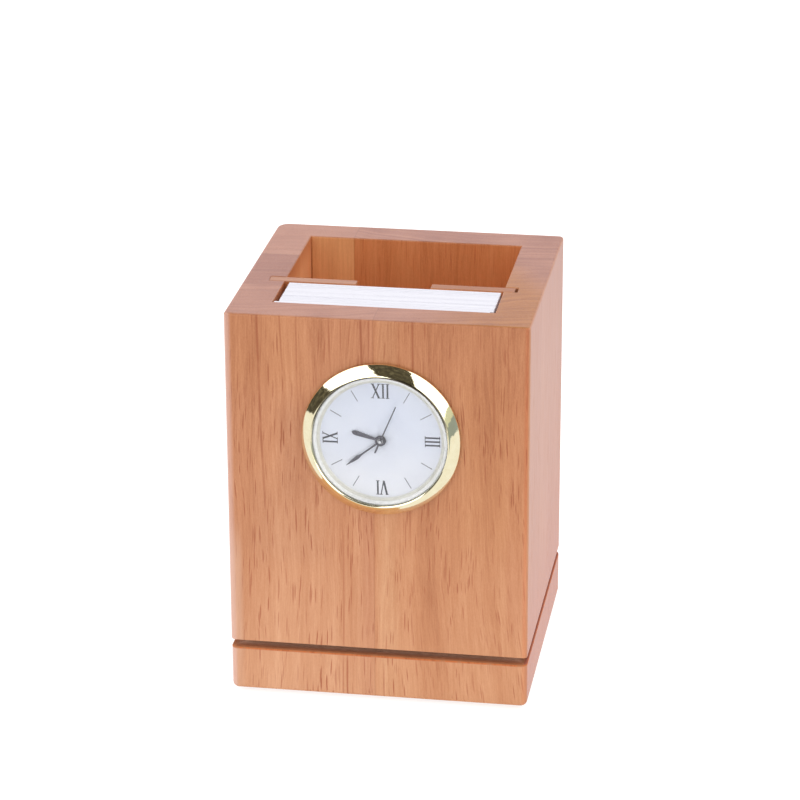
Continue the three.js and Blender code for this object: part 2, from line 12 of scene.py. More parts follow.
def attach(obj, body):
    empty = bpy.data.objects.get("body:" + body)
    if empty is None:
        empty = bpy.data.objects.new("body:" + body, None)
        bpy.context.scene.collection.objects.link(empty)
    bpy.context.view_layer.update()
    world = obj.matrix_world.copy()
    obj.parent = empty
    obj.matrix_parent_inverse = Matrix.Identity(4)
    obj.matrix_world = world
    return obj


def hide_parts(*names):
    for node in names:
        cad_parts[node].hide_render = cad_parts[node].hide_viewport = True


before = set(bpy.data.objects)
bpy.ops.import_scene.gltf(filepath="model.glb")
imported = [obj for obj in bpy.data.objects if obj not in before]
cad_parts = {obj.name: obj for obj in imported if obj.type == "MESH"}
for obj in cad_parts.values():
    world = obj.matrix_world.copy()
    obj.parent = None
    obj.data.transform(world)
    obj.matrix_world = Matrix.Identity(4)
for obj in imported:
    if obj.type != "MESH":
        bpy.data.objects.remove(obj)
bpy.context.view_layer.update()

MM = 0.001
scene = bpy.context.scene

# sizes shared with the CAD source
W, D = 95.0, 90.4
R_EDGE = (1.3, 1.6, 4.0, 1.6)  # upright edges, from the front right one, counter-clockwise
Z_BASE, Z_BASE_TOP = 1.2, 16.2
Z_BODY, Z_FLOOR, Z_TOP = 18.4, 28.4, 128.8
X_IN, Y_IN = 35.0, 32.7
KERF_L, KERF_R, KERF_Y0, KERF_Y1 = -39.44, 39.3, -12.85, -8.75
CX, CY, CZ = 1.56, -45.2, 90.25
FACE_K = 0.986  # the drawn face against the CAD radii
FACE_TURN = math.radians(0.7)
HOLE_R, HOLE_DEEP = 23.0, 10.4
HOUR_ANGLE, MINUTE_ANGLE, SECOND_ANGLE = 285.9, 231.4, 22.9


# ---------------------------------------------------------------- camera
def make_camera():
    az, el, roll = math.radians(9.2167), math.radians(21.1799), math.radians(-0.2427)
    dist = 1.0269877
    target = Vector((0.0001053, 0.0, 0.0855993))
    back = Vector((math.sin(az) * math.cos(el), -math.cos(az) * math.cos(el), math.sin(el)))
    right = (-back).cross(Vector((0, 0, 1))).normalized()
    up = right.cross(-back)
    r2 = right * math.cos(roll) + up * math.sin(roll)
    u2 = up * math.cos(roll) - right * math.sin(roll)
    m = Matrix((r2, u2, back)).transposed().to_4x4()
    m.translation = target + back * dist
    cam = bpy.data.cameras.new("camera")
    cam.sensor_width = 36.0
    cam.lens = 143.5413
    cam.clip_start = 0.01
    cam.clip_end = 50.0
    ob = bpy.data.objects.new("camera", cam)
    scene.collection.objects.link(ob)
    ob.matrix_world = m
    scene.camera = ob


make_camera()
scene.view_settings.view_transform = "Standard"
scene.view_settings.look = "None"


# ---------------------------------------------------------------- node helper
def linear(c):
    return tuple((v / 255 / 12.92) if v / 255 <= 0.04045 else ((v / 255 + 0.055) / 1.055) ** 2.4 for v in c) + (1.0,)


class Nodes:
    """Short names for building a node tree."""

    def __init__(self, tree):
        self.tree = tree
        tree.nodes.clear()

    def new(self, kind, **props):
        n = self.tree.nodes.new(kind)
        for k, v in props.items():
            setattr(n, k, v)
        return n

    def put(self, socket, value):
        if value is None:
            return
        if isinstance(value, bpy.types.NodeSocket):
            self.tree.links.new(value, socket)
        else:
            socket.default_value = value

    def math(self, op, a, b=None, c=None, clamp=False):
        n = self.new("ShaderNodeMath", operation=op, use_clamp=clamp)
        for s, v in zip(n.inputs, (a, b, c)):
            self.put(s, v)
        return n.outputs[0]

    def add(self, a, b):
        return self.math("ADD", a, b)

    def sub(self, a, b):
        return self.math("SUBTRACT", a, b)

    def mul(self, a, b):
        return self.math("MULTIPLY", a, b)

    def gt(self, a, b):
        return self.math("GREATER_THAN", a, b)

    def smooth(self, v, lo, hi, out0=0.0, out1=1.0):
        n = self.new("ShaderNodeMapRange", interpolation_type="SMOOTHSTEP")
        for name, x in (("Value", v), ("From Min", lo), ("From Max", hi), ("To Min", out0), ("To Max", out1)):
            self.put(n.inputs[name], x)
        return n.outputs[0]

    def combine(self, x, y, z):
        n = self.new("ShaderNodeCombineXYZ")
        for s, v in zip(n.inputs, (x, y, z)):
            self.put(s, v)
        return n.outputs[0]

    def split(self, v):
        n = self.new("ShaderNodeSeparateXYZ")
        self.put(n.inputs[0], v)
        return n.outputs[0], n.outputs[1], n.outputs[2]

    def noise(self, v, scale=1.0, detail=2.0, rough=0.5, distortion=0.0):
        n = self.new("ShaderNodeTexNoise")
        self.put(n.inputs["Vector"], v)
        self.put(n.inputs["Scale"], scale)
        self.put(n.inputs["Detail"], detail)
        self.put(n.inputs["Roughness"], rough)
        self.put(n.inputs["Distortion"], distortion)
        return n.outputs[0]

    def noise1(self, w, scale=1.0, detail=2.0, rough=0.5):
        n = self.new("ShaderNodeTexNoise", noise_dimensions="1D")
        self.put(n.inputs["W"], w)
        self.put(n.inputs["Scale"], scale)
        self.put(n.inputs["Detail"], detail)
        self.put(n.inputs["Roughness"], rough)
        return n.outputs[0]

    def voronoi(self, v, randomness=1.0, out="Distance"):
        n = self.new("ShaderNodeTexVoronoi")
        self.put(n.inputs["Vector"], v)
        self.put(n.inputs["Scale"], 1.0)
        self.put(n.inputs["Randomness"], randomness)
        return n.outputs[out]

    def ramp(self, fac, stops, interp="LINEAR"):
        n = self.new("ShaderNodeValToRGB")
        r = n.color_ramp
        r.interpolation = interp
        while len(r.elements) < len(stops):
            r.elements.new(0.5)
        for e, (pos, col) in zip(r.elements, stops):
            e.position = pos
            e.color = col if len(col) == 4 else tuple(col) + (1.0,)
        self.put(n.inputs[0], fac)
        return n.outputs[0]

    def mix(self, fac, a, b, blend="MIX"):
        n = self.new("ShaderNodeMix", data_type="RGBA", blend_type=blend)
        self.put(n.inputs[0], fac)
        self.put(n.inputs[6], a)
        self.put(n.inputs[7], b)
        return n.outputs[2]

    def object_mm(self):
        tc = self.new("ShaderNodeTexCoord")
        vm = self.new("ShaderNodeVectorMath", operation="SCALE")
        self.put(vm.inputs[0], tc.outputs["Object"])
        vm.inputs["Scale"].default_value = 1000.0
        return vm.outputs[0], tc.outputs["Normal"]

    def principled(self, base, rough, **sockets):
        n = self.new("ShaderNodeBsdfPrincipled")
        self.put(n.inputs["Base Color"], base)
        self.put(n.inputs["Roughness"], rough)
        for k, v in sockets.items():
            self.put(n.inputs[k.replace("_", " ")], v)
        return n

    def bump(self, height, distance_mm, strength=1.0):
        n = self.new("ShaderNodeBump")
        self.put(n.inputs["Height"], height)
        n.inputs["Distance"].default_value = distance_mm * MM
        n.inputs["Strength"].default_value = strength
        return n.outputs[0]

    def output(self, shader):
        n = self.new("ShaderNodeOutputMaterial")
        self.tree.links.new(shader, n.inputs[0])


def material(name):
    m = bpy.data.materials.new(name)
    m.use_nodes = True
    return m, Nodes(m.node_tree)


# ---------------------------------------------------------------- wood
# One solid texture in the object's own frame: staves glued side by side, growth rings round a far
# pith, fibres and pores along Z. So faces show upright streaks, rims show arcs, and the base block
# continues the grain of the housing.
# Dark growth lines that run down the front: x at the top edge, drift per mm of height, width, the two
# heights between which the line fades in, strength.
GROWTH_LINES = [
    (-37.2, 0.032, 0.62, 52.0, 96.0, 1.0), (-29.8, 0.020, 0.42, 104.0, 122.0, 0.7), (-24.6, 0.012, 0.40, 92.0, 118.0, 0.6),
    (-14.9, 0.020, 0.45, 108.0, 122.0, 0.8), (-11.2, 0.010, 0.36, 112.0, 124.0, 0.6), (-4.5, 0.006, 0.55, 104.0, 120.0, 1.0),
    (-2.2, 0.010, 0.40, 108.0, 122.0, 0.7), (11.2, -0.008, 0.52, 50.0, 72.0, 1.0), (35.6, 0.030, 0.42, 70.0, 104.0, 0.7),
    (41.0, 0.0, 0.36, 96.0, 120.0, 0.5), (-9.6, 0.0, 0.45, 17.5, 13.0, 1.0), (-2.6, 0.0, 0.34, 17.0, 9.0, 0.7),
    (1.6, 0.0, 0.36, 16.0, 6.0, 0.8), (-22.8, 0.0, 0.40, 15.0, 4.0, 0.7), (-11.0, 0.0, 0.40, 66.0, 56.0, 0.6),
]


def growth_lines(g, x, z):
    """Thin dark lines that wander down the front."""
    total = 0.0
    for k, (x0, drift, width, low, high, strength) in enumerate(GROWTH_LINES):
        path = g.add(g.mul(g.math("SINE", g.add(g.mul(z, 0.055 + 0.007 * (k % 4)), 1.7 * k)), 0.30), g.add(g.mul(g.sub(128.0, z), drift), x0))
        near = g.smooth(g.math("ABSOLUTE", g.sub(x, path)), width, width * 0.15)
        total = g.math("MAXIMUM", total, g.mul(g.mul(near, g.smooth(z, low, high)), strength))
    return total


def wood_material(name, rims="end", dull=False):
    m, g = material(name)
    pos, normal = g.object_mm()
    x, y, z = g.split(pos)
    # the grain fans out a little towards the foot
    q = g.math("MAXIMUM", g.mul(g.sub(105.0, z), 0.01), 0.0)
    fanned = g.mul(x, g.sub(1.0, g.mul(g.mul(q, q), g.smooth(x, -12.0, 20.0, 0.06, 0.11))))
    # slow wander of the grain
    n1 = g.sub(g.noise(g.combine(g.mul(x, 0.045), g.mul(y, 0.045), g.mul(z, 0.016)), 1.0, 2.0), 0.5)
    n2 = g.sub(g.noise(g.combine(g.mul(y, 0.041), g.mul(x, 0.043), g.mul(z, 0.014)), 1.0, 2.0), 0.5)
    xw, yw = g.add(fanned, g.mul(n1, 6.0)), g.add(y, g.mul(n2, 6.0))
    # staves: front layer, middle layer and back layer, each in two parts
    front = g.math("LESS_THAN", y, -17.2)
    rear = g.gt(y, 12.8)
    cut = g.add(g.mul(front, -1.0), g.mul(rear, -20.2))
    side = g.gt(x, cut)
    layer = g.add(g.sub(1.0, front), rear)
    stave = g.add(g.mul(layer, 2.0), side)
    sid = g.math("DIVIDE", g.add(stave, 0.5), 6.0)
    # pith of each stave, packed as (x, y) and a tone
    pith = g.ramp(sid, [
        (0.0, (0.28, 1.0, 0.56)), (1 / 6, (0.46, 1.0, 0.485)), (2 / 6, (0.40, 0.02, 0.36)),
        (3 / 6, (0.52, 0.96, 0.52)), (4 / 6, (0.35, 0.0, 0.60)), (5 / 6, (0.60, 1.0, 0.44)),
    ], "CONSTANT")
    px, py, tone = g.split(pith)
    dx = g.sub(xw, g.add(g.mul(px, 300.0), -150.0))
    dy = g.sub(yw, g.add(g.mul(py, 300.0), -150.0))
    rho = g.math("SQRT", g.add(g.mul(dx, dx), g.mul(dy, dy)))
    rho = g.add(rho, g.mul(stave, 37.0))
    rings = g.sub(g.noise1(rho, 0.42, 3.0, 0.62), 0.5)
    # broad and narrow bands, fibres
    broad = g.sub(g.noise(g.combine(g.add(g.mul(xw, 0.085), g.mul(stave, 5.3)), g.mul(yw, 0.07), g.mul(z, 0.006)), 1.0, 2.0, 0.5), 0.5)
    bands = g.sub(g.noise(g.combine(g.add(g.mul(xw, 0.27), g.mul(stave, 9.1)), g.mul(yw, 0.22), g.mul(z, 0.012)), 1.0, 2.0, 0.6), 0.5)
    fibre = g.sub(g.noise(g.combine(g.mul(xw, 1.25), g.mul(yw, 1.0), g.mul(z, 0.045)), 1.0, 3.0, 0.62), 0.5)
    fine = g.sub(g.noise(g.combine(g.mul(xw, 4.2), g.mul(yw, 4.2), g.mul(z, 0.16)), 1.0, 2.0, 0.6), 0.5)
    fleck = g.sub(g.noise(g.combine(g.mul(xw, 3.4), g.mul(yw, 3.4), g.mul(z, 1.2)), 1.0, 2.0, 0.6), 0.5)
    # pores: short dark dashes with pointed ends, denser in some bands, and longer soft streaks
    crowd = g.smooth(g.noise(g.combine(g.mul(xw, 0.16), g.mul(yw, 0.16), g.mul(z, 0.020)), 1.0, 2.0), 0.34, 0.62)
    d1 = g.voronoi(g.combine(g.mul(xw, 1.36), g.mul(yw, 1.36), g.mul(z, 0.068)))
    d2 = g.voronoi(g.combine(g.add(g.mul(xw, 0.80), 7.3), g.mul(yw, 0.80), g.mul(z, 0.042)))
    d3 = g.voronoi(g.combine(g.add(g.mul(xw, 0.30), 3.1), g.mul(yw, 0.30), g.mul(z, 0.020)))
    short = g.mul(g.mul(g.smooth(d1, 0.29, 0.14), g.add(g.mul(crowd, 0.80), 0.20)), g.smooth(z, 88.0, 118.0, 1.0, 0.55))
    medium = g.mul(g.smooth(d2, 0.24, 0.10), g.add(g.mul(crowd, 0.6), 0.4))
    streaks = g.smooth(d3, 0.24, 0.02)
    nx, ny, nz = g.split(normal)
    # the two side faces are calmer than the front, and further on they are painted pinker and paler towards the top, a
    # painted reflection
    flank = g.smooth(g.math("ABSOLUTE", nx), 0.45, 0.85)
    ax, ay = g.math("ABSOLUTE", x), g.math("ABSOLUTE", y)
    inner = g.mul(g.mul(g.math("LESS_THAN", ax, 35.2), g.math("LESS_THAN", ay, 32.9)), g.mul(g.gt(z, 28.5), g.math("LESS_THAN", z, 128.5)))
    calm = g.mul(g.sub(1.0, g.mul(flank, 0.74)), g.sub(1.0, g.mul(inner, 0.40)))
    crisp = g.smooth(z, 15.0, 125.0, 0.90, 1.20)
    t = g.add(g.add(g.mul(broad, 0.66), g.mul(bands, 0.40)), g.mul(g.add(g.mul(fibre, 0.52), g.add(g.mul(fine, 0.32), g.mul(fleck, 0.26))), crisp))
    t = g.sub(g.add(t, g.mul(rings, 0.14)), g.mul(streaks, 0.09))
    # painted light: the last term raises the tone lower down, so the wood is painted lighter towards the foot
    t = g.add(g.add(g.mul(t, calm), tone), g.mul(g.sub(62.0, z), 0.0032))
    # a darker run on the right half of the front, fading towards the foot and the rim
    run = g.smooth(g.math("ABSOLUTE", g.sub(xw, 17.5)), 9.0, 1.0)
    run = g.mul(run, g.mul(g.smooth(z, 14.0, 44.0, 0.35, 1.0), g.smooth(z, 92.0, 108.0, 1.0, 0.60)))
    front_only = g.math("LESS_THAN", y, -32.0)
    t = g.sub(t, g.mul(g.mul(run, 0.13), g.mul(front_only, g.sub(1.0, flank))))
    col = g.ramp(t, [
        (0.0, (0.322, 0.105, 0.038)), (0.25, (0.428, 0.164, 0.070)), (0.5, (0.511, 0.217, 0.101)),
        (0.75, (0.595, 0.285, 0.148)), (1.0, (0.682, 0.362, 0.207)),
    ])
    lines = g.mul(growth_lines(g, x, z), g.math("LESS_THAN", y, -43.0))
    lines = g.mul(lines, g.smooth(g.noise(g.combine(g.mul(x, 0.2), 0.0, g.mul(z, 0.09)), 1.0, 2.0), 0.22, 0.52, 0.25, 1.0))
    marks = g.math("MAXIMUM", g.math("MAXIMUM", short, g.mul(medium, 0.85)), g.mul(lines, 0.85))
    deep = g.mix(g.smooth(z, 30.0, 100.0), (0.365, 0.104, 0.041, 1.0), (0.315, 0.088, 0.031, 1.0))
    col = g.mix(g.mul(g.mul(marks, 0.95), calm), col, deep)
    col = g.mix(g.mul(side, front_only), col, g.mix(1.0, col, (1.0, 0.99, 0.95, 1.0), "MULTIPLY"))
    # a redder zone beside the clock and another in the upper left corner
    beside = g.mul(g.mul(g.smooth(x, 16.0, 32.0), g.smooth(z, 44.0, 66.0)), g.smooth(z, 122.0, 104.0))
    above = g.mul(g.smooth(x, -14.0, -30.0), g.smooth(z, 98.0, 112.0))
    zone = g.mul(g.mul(g.math("MAXIMUM", beside, above), front_only), g.sub(1.0, flank))
    col = g.mix(zone, col, g.mix(1.0, col, (0.970, 0.950, 0.885, 1.0), "MULTIPLY"))
    # painted shade round the left of the clock's bezel; deeper wood a little below the clock and along the right edge
    plain = g.mul(front_only, g.sub(1.0, flank))
    bezel_shade = g.mul(g.smooth(g.math("ABSOLUTE", g.add(x, 25.5)), 7.5, 2.0), g.mul(g.smooth(z, 64.0, 76.0), g.smooth(z, 106.0, 94.0)))
    below = g.mul(g.mul(g.smooth(x, -43.0, -36.0), g.smooth(x, -10.0, -20.0)), g.mul(g.smooth(z, 42.0, 52.0), g.smooth(z, 80.0, 66.0)))
    by_edge = g.mul(g.smooth(x, 39.5, 42.5), g.mul(g.smooth(z, 18.0, 34.0), g.smooth(z, 122.0, 108.0)))
    col = g.mix(g.mul(bezel_shade, plain), col, g.mix(1.0, col, (0.89, 0.86, 0.86, 1.0), "MULTIPLY"))
    col = g.mix(g.mul(below, plain), col, g.mix(1.0, col, (0.945, 0.935, 0.935, 1.0), "MULTIPLY"))
    col = g.mix(g.mul(by_edge, plain), col, g.mix(1.0, col, (0.955, 0.91, 0.91, 1.0), "MULTIPLY"))
    # the stave joint down the middle of the front: deeper wood on its left, paler wood on its right
    deeper = g.mul(g.smooth(x, -6.8, -3.4), g.smooth(x, 0.0, -1.4))
    paler = g.mul(g.smooth(x, -0.8, 2.2), g.smooth(x, 8.2, 5.0))
    joint = g.mul(g.mul(front_only, g.sub(1.0, flank)), g.smooth(z, 8.0, 30.0, 0.60, 1.0))
    col = g.mix(g.mul(deeper, joint), col, g.mix(1.0, col, (0.90, 0.83, 0.81, 1.0), "MULTIPLY"))
    col = g.mix(g.mul(paler, joint), col, g.mix(1.0, col, (1.035, 1.11, 1.16, 1.0), "MULTIPLY"))
    # sapwood at the lower left edge
    sap = g.mul(g.mul(g.smooth(x, -42.4, -44.6), g.smooth(z, 64.0, 44.0)), g.smooth(z, 6.0, 24.0, 0.5, 1.0))
    col = g.mix(g.mul(g.mul(sap, front_only), g.mul(g.sub(1.0, flank), 0.40)), col, (0.66, 0.42, 0.30, 1.0))
    # painted reflection: the side faces are tinted pink and paler towards the top, darker and more orange towards the
    # foot
    side_glare_tint = g.ramp(g.mul(z, 0.0078), [(0.10, (0.93, 0.76, 0.66)), (0.28, (0.96, 0.895, 0.86)), (0.48, (1.0, 1.04, 1.08)), (0.80, (1.065, 1.23, 1.44))])
    col = g.mix(flank, col, g.mix(1.0, col, side_glare_tint, "MULTIPLY"))
    # painted highlight: a lighter, more orange line down the rounded right front edge
    arris_highlight = g.mul(g.mul(g.smooth(x, 45.4, 46.6), front_only), g.sub(1.0, flank))
    col = g.mix(g.mul(arris_highlight, 0.7), col, g.mix(1.0, col, (1.06, 0.84, 0.72, 1.0), "MULTIPLY"))
    # painted reflection: a pale lilac line down the rounded left front edge and the strip of front beside it
    left_edge_glare = g.mul(g.add(g.smooth(nx, -0.10, -0.34, 0.0, 0.45), g.smooth(nx, -0.55, -0.85, 0.0, 0.35)), g.smooth(nx, -0.998, -0.97))
    left_edge_glare = g.mul(left_edge_glare, g.math("LESS_THAN", g.math("ABSOLUTE", nz), 0.3))
    left_edge_glare = g.math("MAXIMUM", left_edge_glare, g.mul(g.smooth(x, -44.9, -46.4, 0.0, 0.42), g.mul(g.math("LESS_THAN", y, -44.5), g.math("LESS_THAN", ny, -0.5))))
    col = g.mix(left_edge_glare, col, (0.70, 0.47, 0.42, 1.0))
    # glue lines
    gy = g.math("MINIMUM", g.math("ABSOLUTE", g.add(y, 17.2)), g.math("ABSOLUTE", g.sub(y, 12.8)))
    gx = g.add(g.math("ABSOLUTE", g.sub(x, cut)), g.mul(g.sub(1.0, g.math("MAXIMUM", front, rear)), 50.0))
    glue = g.smooth(g.math("MINIMUM", gx, gy), 0.20, 0.05)
    col = g.mix(g.mul(glue, 0.30), col, (0.28, 0.10, 0.04, 1.0))
    # inside the well the colour is scaled: painted light brightens the walls and floor, most on the back and left walls
    # deep down, and painted shade darkens and reddens the slot in front of the divider
    depth = g.smooth(z, 129.5, 119.0)
    well_light_gain = g.mix(g.mul(g.math("LESS_THAN", x, -20.2), g.gt(y, 31.5)), (1.40, 1.30, 1.06, 1.0), g.mix(depth, (1.48, 1.68, 1.52, 1.0), (1.64, 1.94, 1.80, 1.0)))
    wall = g.mix(depth, (1.34, 1.05, 0.78, 1.0), (2.02, 2.16, 2.00, 1.0))
    wall = g.mix(g.gt(y, 12.8), wall, g.mix(1.0, wall, (0.88, 0.81, 0.76, 1.0), "MULTIPLY"))
    well_light_gain = g.mix(g.mul(g.math("LESS_THAN", x, -33.6), g.mul(g.gt(y, -9.0), g.math("LESS_THAN", y, 31.9))), well_light_gain, wall)
    well_light_gain = g.mix(g.math("LESS_THAN", y, -12.9), well_light_gain, (1.05, 0.72, 0.50, 1.0))
    well_light_gain = g.mix(g.mul(g.math("LESS_THAN", x, -34.15), g.gt(y, 32.25)), well_light_gain, (1.10, 0.96, 0.74, 1.0))
    col = g.mix(inner, col, g.mix(1.0, col, well_light_gain, "MULTIPLY"))
    # end grain on rims
    end = g.smooth(g.math("ABSOLUTE", nz), 0.70, 0.93)
    te = g.add(g.add(tone, g.mul(rings, g.smooth(x, -30.0, -10.0, 0.42, 0.66))), g.add(g.mul(fine, 0.42), g.mul(broad, 0.5)))
    if rims == "end":
        ecol = g.ramp(te, [
            (0.0, (0.270, 0.108, 0.062)), (0.35, (0.345, 0.146, 0.090)), (0.6, (0.432, 0.200, 0.124)), (1.0, (0.500, 0.250, 0.165)),
        ])
        # painted shade: a more orange patch on the right front of the rim stands in for a pale reflection blocked there
        rim_reflection_shade = g.mul(g.smooth(x, 6.0, 40.0), g.smooth(g.add(y, g.mul(g.sub(g.math("MINIMUM", x, 47.0), 41.0), 1.6)), 16.0, -14.0))
        rim_reflection_shade = g.mul(rim_reflection_shade, g.smooth(y, 34.0, 20.0))
        ecol = g.mix(rim_reflection_shade, ecol, g.mix(1.0, ecol, (0.99, 0.84, 0.33, 1.0), "MULTIPLY"))
    else:
        along = g.noise(g.combine(g.mul(x, 0.05), g.mul(y, 2.2), 0.0), 1.0, 3.0, 0.6)
        ecol = g.ramp(along, [(0.3, (0.330, 0.135, 0.060)), (0.5, (0.430, 0.190, 0.095)), (0.7, (0.500, 0.240, 0.130))])
        ecol = g.mix(g.gt(x, 0.0), ecol, g.mix(1.0, ecol, (0.86, 0.72, 0.50, 1.0), "MULTIPLY"))
    ecol = g.mix(g.mul(short, 0.30), ecol, (0.16, 0.06, 0.035, 1.0))
    ecol = g.mix(g.mul(glue, 0.30), ecol, (0.20, 0.09, 0.05, 1.0))
    col = g.mix(end, col, ecol)
    # the joint between base and housing: a saturated orange-red line along the base's top edge, and on the surfaces
    # inside the gap painted light, paler deeper in where the gap's shade falls, with painted shade at the right end
    patchy = g.noise(g.combine(g.mul(x, 0.35), g.mul(y, 0.35), 0.0), 1.0, 3.0, 0.65)
    edge = g.mul(g.smooth(z, 15.20, 15.50), g.math("LESS_THAN", z, 18.44))
    orange_edge_line = g.ramp(patchy, [(0.35, (0.36, 0.090, 0.026)), (0.5, (0.52, 0.150, 0.045)), (0.65, (0.42, 0.165, 0.070))])
    col = g.mix(g.mul(edge, 0.95), col, orange_edge_line)
    gap_floor = g.mul(g.smooth(z, 15.80, 15.95), g.math("LESS_THAN", z, 18.44))
    rim_in = g.math("MINIMUM", g.sub(W / 2, ax), g.sub(D / 2, ay))
    gap_painted_light = g.ramp(g.mul(rim_in, 1 / 6), [
        (0.05, (0.34, 0.130, 0.060)), (0.17, (0.40, 0.160, 0.078)), (0.28, (0.45, 0.220, 0.128)),
        (0.38, (0.52, 0.290, 0.200)), (0.50, (0.64, 0.430, 0.320)), (0.66, (0.80, 0.590, 0.460)),
    ])
    gap_painted_light = g.mix(1.0, gap_painted_light, g.ramp(patchy, [(0.3, (0.88, 0.86, 0.84)), (0.7, (1.08, 1.08, 1.08))]), "MULTIPLY")
    col = g.mix(gap_floor, col, g.mix(g.smooth(x, 46.2, 46.8), gap_painted_light, (0.34, 0.105, 0.065, 1.0)))
    rough = g.add(g.add(0.48, g.mul(fibre, 0.22)), g.mul(marks, 0.15))
    height = g.sub(g.mul(fine, 0.35), g.mul(marks, 1.0))
    if dull:
        p = g.principled(col, g.add(rough, 0.25), Specular_IOR_Level=0.08)
    else:
        p = g.principled(col, rough, Coat_Weight=0.30, Coat_Roughness=0.25, Specular_IOR_Level=0.35)
    g.put(p.inputs["Normal"], g.bump(height, 0.05, 0.5))
    g.output(p.outputs[0])
    return m


def dull_band(ob, low, high):
    """Gives the faces between two heights the unpolished wood."""
    ob.data.materials.append(WOOD_DULL)
    for p in ob.data.polygons:
        if low < p.center.z / MM < high:
            p.material_index = 1
    return ob


# ---------------------------------------------------------------- other materials
def gold_material():
    m, g = material("polished_gold")
    pos, _ = g.object_mm()
    x, y, z = g.split(pos)
    dx, dz = g.sub(x, CX), g.sub(z, CZ)
    r = g.math("SQRT", g.add(g.mul(dx, dx), g.mul(dz, dz)))
    smear = g.noise(pos, 0.35, 3.0, 0.6)
    hair = g.noise(pos, 3.0, 2.0, 0.6)
    col = g.ramp(smear, [(0.3, (0.88, 0.79, 0.54)), (0.7, (0.93, 0.86, 0.62))])
    # painted shade: the rolled inner edge is painted near black round the top
    edge = g.smooth(g.sub(r, g.smooth(dx, 0.0, 9.0, 21.60, 21.95)), 0.12, -0.06)
    edge = g.mul(g.mul(edge, g.gt(r, 21.0)), g.smooth(dz, 1.5, 8.0))
    col = g.mix(g.mul(edge, 0.93), col, (0.05, 0.045, 0.035, 1.0))
    p = g.principled(col, g.add(0.035, g.mul(hair, 0.05)), Metallic=1.0)
    g.put(p.inputs["Normal"], g.bump(g.noise(pos, 0.9, 2.0, 0.5), 0.02, 0.35))
    g.output(p.outputs[0])
    return m


def metal_material(name, low, high, rough, scale=1.2, spread=0.14, bump=0.01, metallic=1.0):
    m, g = material(name)
    pos, _ = g.object_mm()
    n = g.noise(pos, scale, 4.0, 0.6)
    streak = g.noise(g.combine(*[g.mul(c, s) for c, s in zip(g.split(pos), (6.0, 0.6, 0.6))]), 1.0, 2.0, 0.6)
    col = g.ramp(n, [(0.3, low), (0.7, high)])
    p = g.principled(col, g.add(rough, g.mul(g.sub(streak, 0.5), spread)), Metallic=metallic)
    g.put(p.inputs["Normal"], g.bump(streak, bump, 0.5))
    g.output(p.outputs[0])
    return m


def ring_material():
    m, g = material("cream_ring_metal")
    pos, _ = g.object_mm()
    x, y, z = g.split(pos)
    n = g.noise(pos, 0.8, 4.0, 0.6)
    dx, dz = g.sub(x, CX), g.sub(z, CZ)
    r = g.math("SQRT", g.add(g.mul(dx, dx), g.mul(dz, dz)))
    tone = g.ramp(g.mul(g.sub(r, 18.5), 0.25), [
        (0.10, (0.82, 0.81, 0.78)), (0.18, (0.68, 0.67, 0.61)), (0.28, (0.75, 0.74, 0.66)), (0.31, (0.64, 0.62, 0.55)),
        (0.35, (0.86, 0.86, 0.83)), (0.48, (0.96, 0.96, 0.95)), (0.60, (0.84, 0.84, 0.84)),
    ])
    col = g.mix(g.smooth(n, 0.3, 0.7), g.mix(1.0, tone, (0.94, 0.94, 0.93, 1.0), "MULTIPLY"), g.mix(1.0, tone, (1.05, 1.05, 1.04, 1.0), "MULTIPLY"))
    p = g.principled(col, g.add(0.42, g.mul(g.sub(n, 0.5), 0.10)), Metallic=0.25)
    g.put(p.inputs["Normal"], g.bump(n, 0.01, 0.5))
    g.output(p.outputs[0])
    return m


def plastic_material(name, low, high, rough, specular=0.5, grain=2.2):
    m, g = material(name)
    pos, _ = g.object_mm()
    n = g.noise(pos, 0.6, 3.0, 0.55)
    fine = g.noise(pos, grain, 3.0, 0.65)
    p = g.principled(g.ramp(n, [(0.3, low), (0.7, high)]), g.add(rough, g.mul(g.sub(fine, 0.5), 0.2)), Specular_IOR_Level=specular)
    g.put(p.inputs["Normal"], g.bump(fine, 0.012, 0.5))
    g.output(p.outputs[0])
    return m


def lens_material():
    m, g = material("clear_lens")
    pos, _ = g.object_mm()
    tint = g.ramp(g.noise(pos, 0.05, 1.0), [(0.3, (0.985, 0.99, 1.0)), (0.7, (1.0, 1.0, 1.0))])
    p = g.principled(tint, g.mul(g.noise(pos, 2.0, 2.0), 0.02), Transmission_Weight=1.0, IOR=1.49)
    clear = g.new("ShaderNodeBsdfTransparent")
    clear.inputs[0].default_value = (0.96, 0.97, 0.98, 1.0)
    path = g.new("ShaderNodeLightPath")
    mixer = g.new("ShaderNodeMixShader")
    g.put(mixer.inputs[0], path.outputs["Is Shadow Ray"])
    g.put(mixer.inputs[1], p.outputs[0])
    g.put(mixer.inputs[2], clear.outputs[0])
    g.output(mixer.outputs[0])
    return m


def dial_material():
    m, g = material("dial_white_paint")
    pos, _ = g.object_mm()
    x, y, z = g.split(pos)
    soft = g.noise(pos, 0.09, 2.0, 0.5)
    speck = g.noise(pos, 5.0, 2.0, 0.6)
    t = g.add(g.mul(soft, 0.7), g.mul(speck, 0.3))
    # white paint, with a blue tint that is a painted reflection
    col = g.ramp(t, [(0.3, (0.700, 0.735, 0.840)), (0.7, (0.765, 0.795, 0.880))])
    # painted light: the lower part of the dial is painted lighter
    col = g.mix(g.smooth(z, CZ + 2.0, CZ - 17.0), col, g.mix(1.0, col, (1.13, 1.10, 1.05, 1.0), "MULTIPLY"))
    p = g.principled(col, g.add(0.5, g.mul(speck, 0.1)), Specular_IOR_Level=0.3)
    g.put(p.inputs["Normal"], g.bump(speck, 0.004, 0.5))
    g.output(p.outputs[0])
    return m


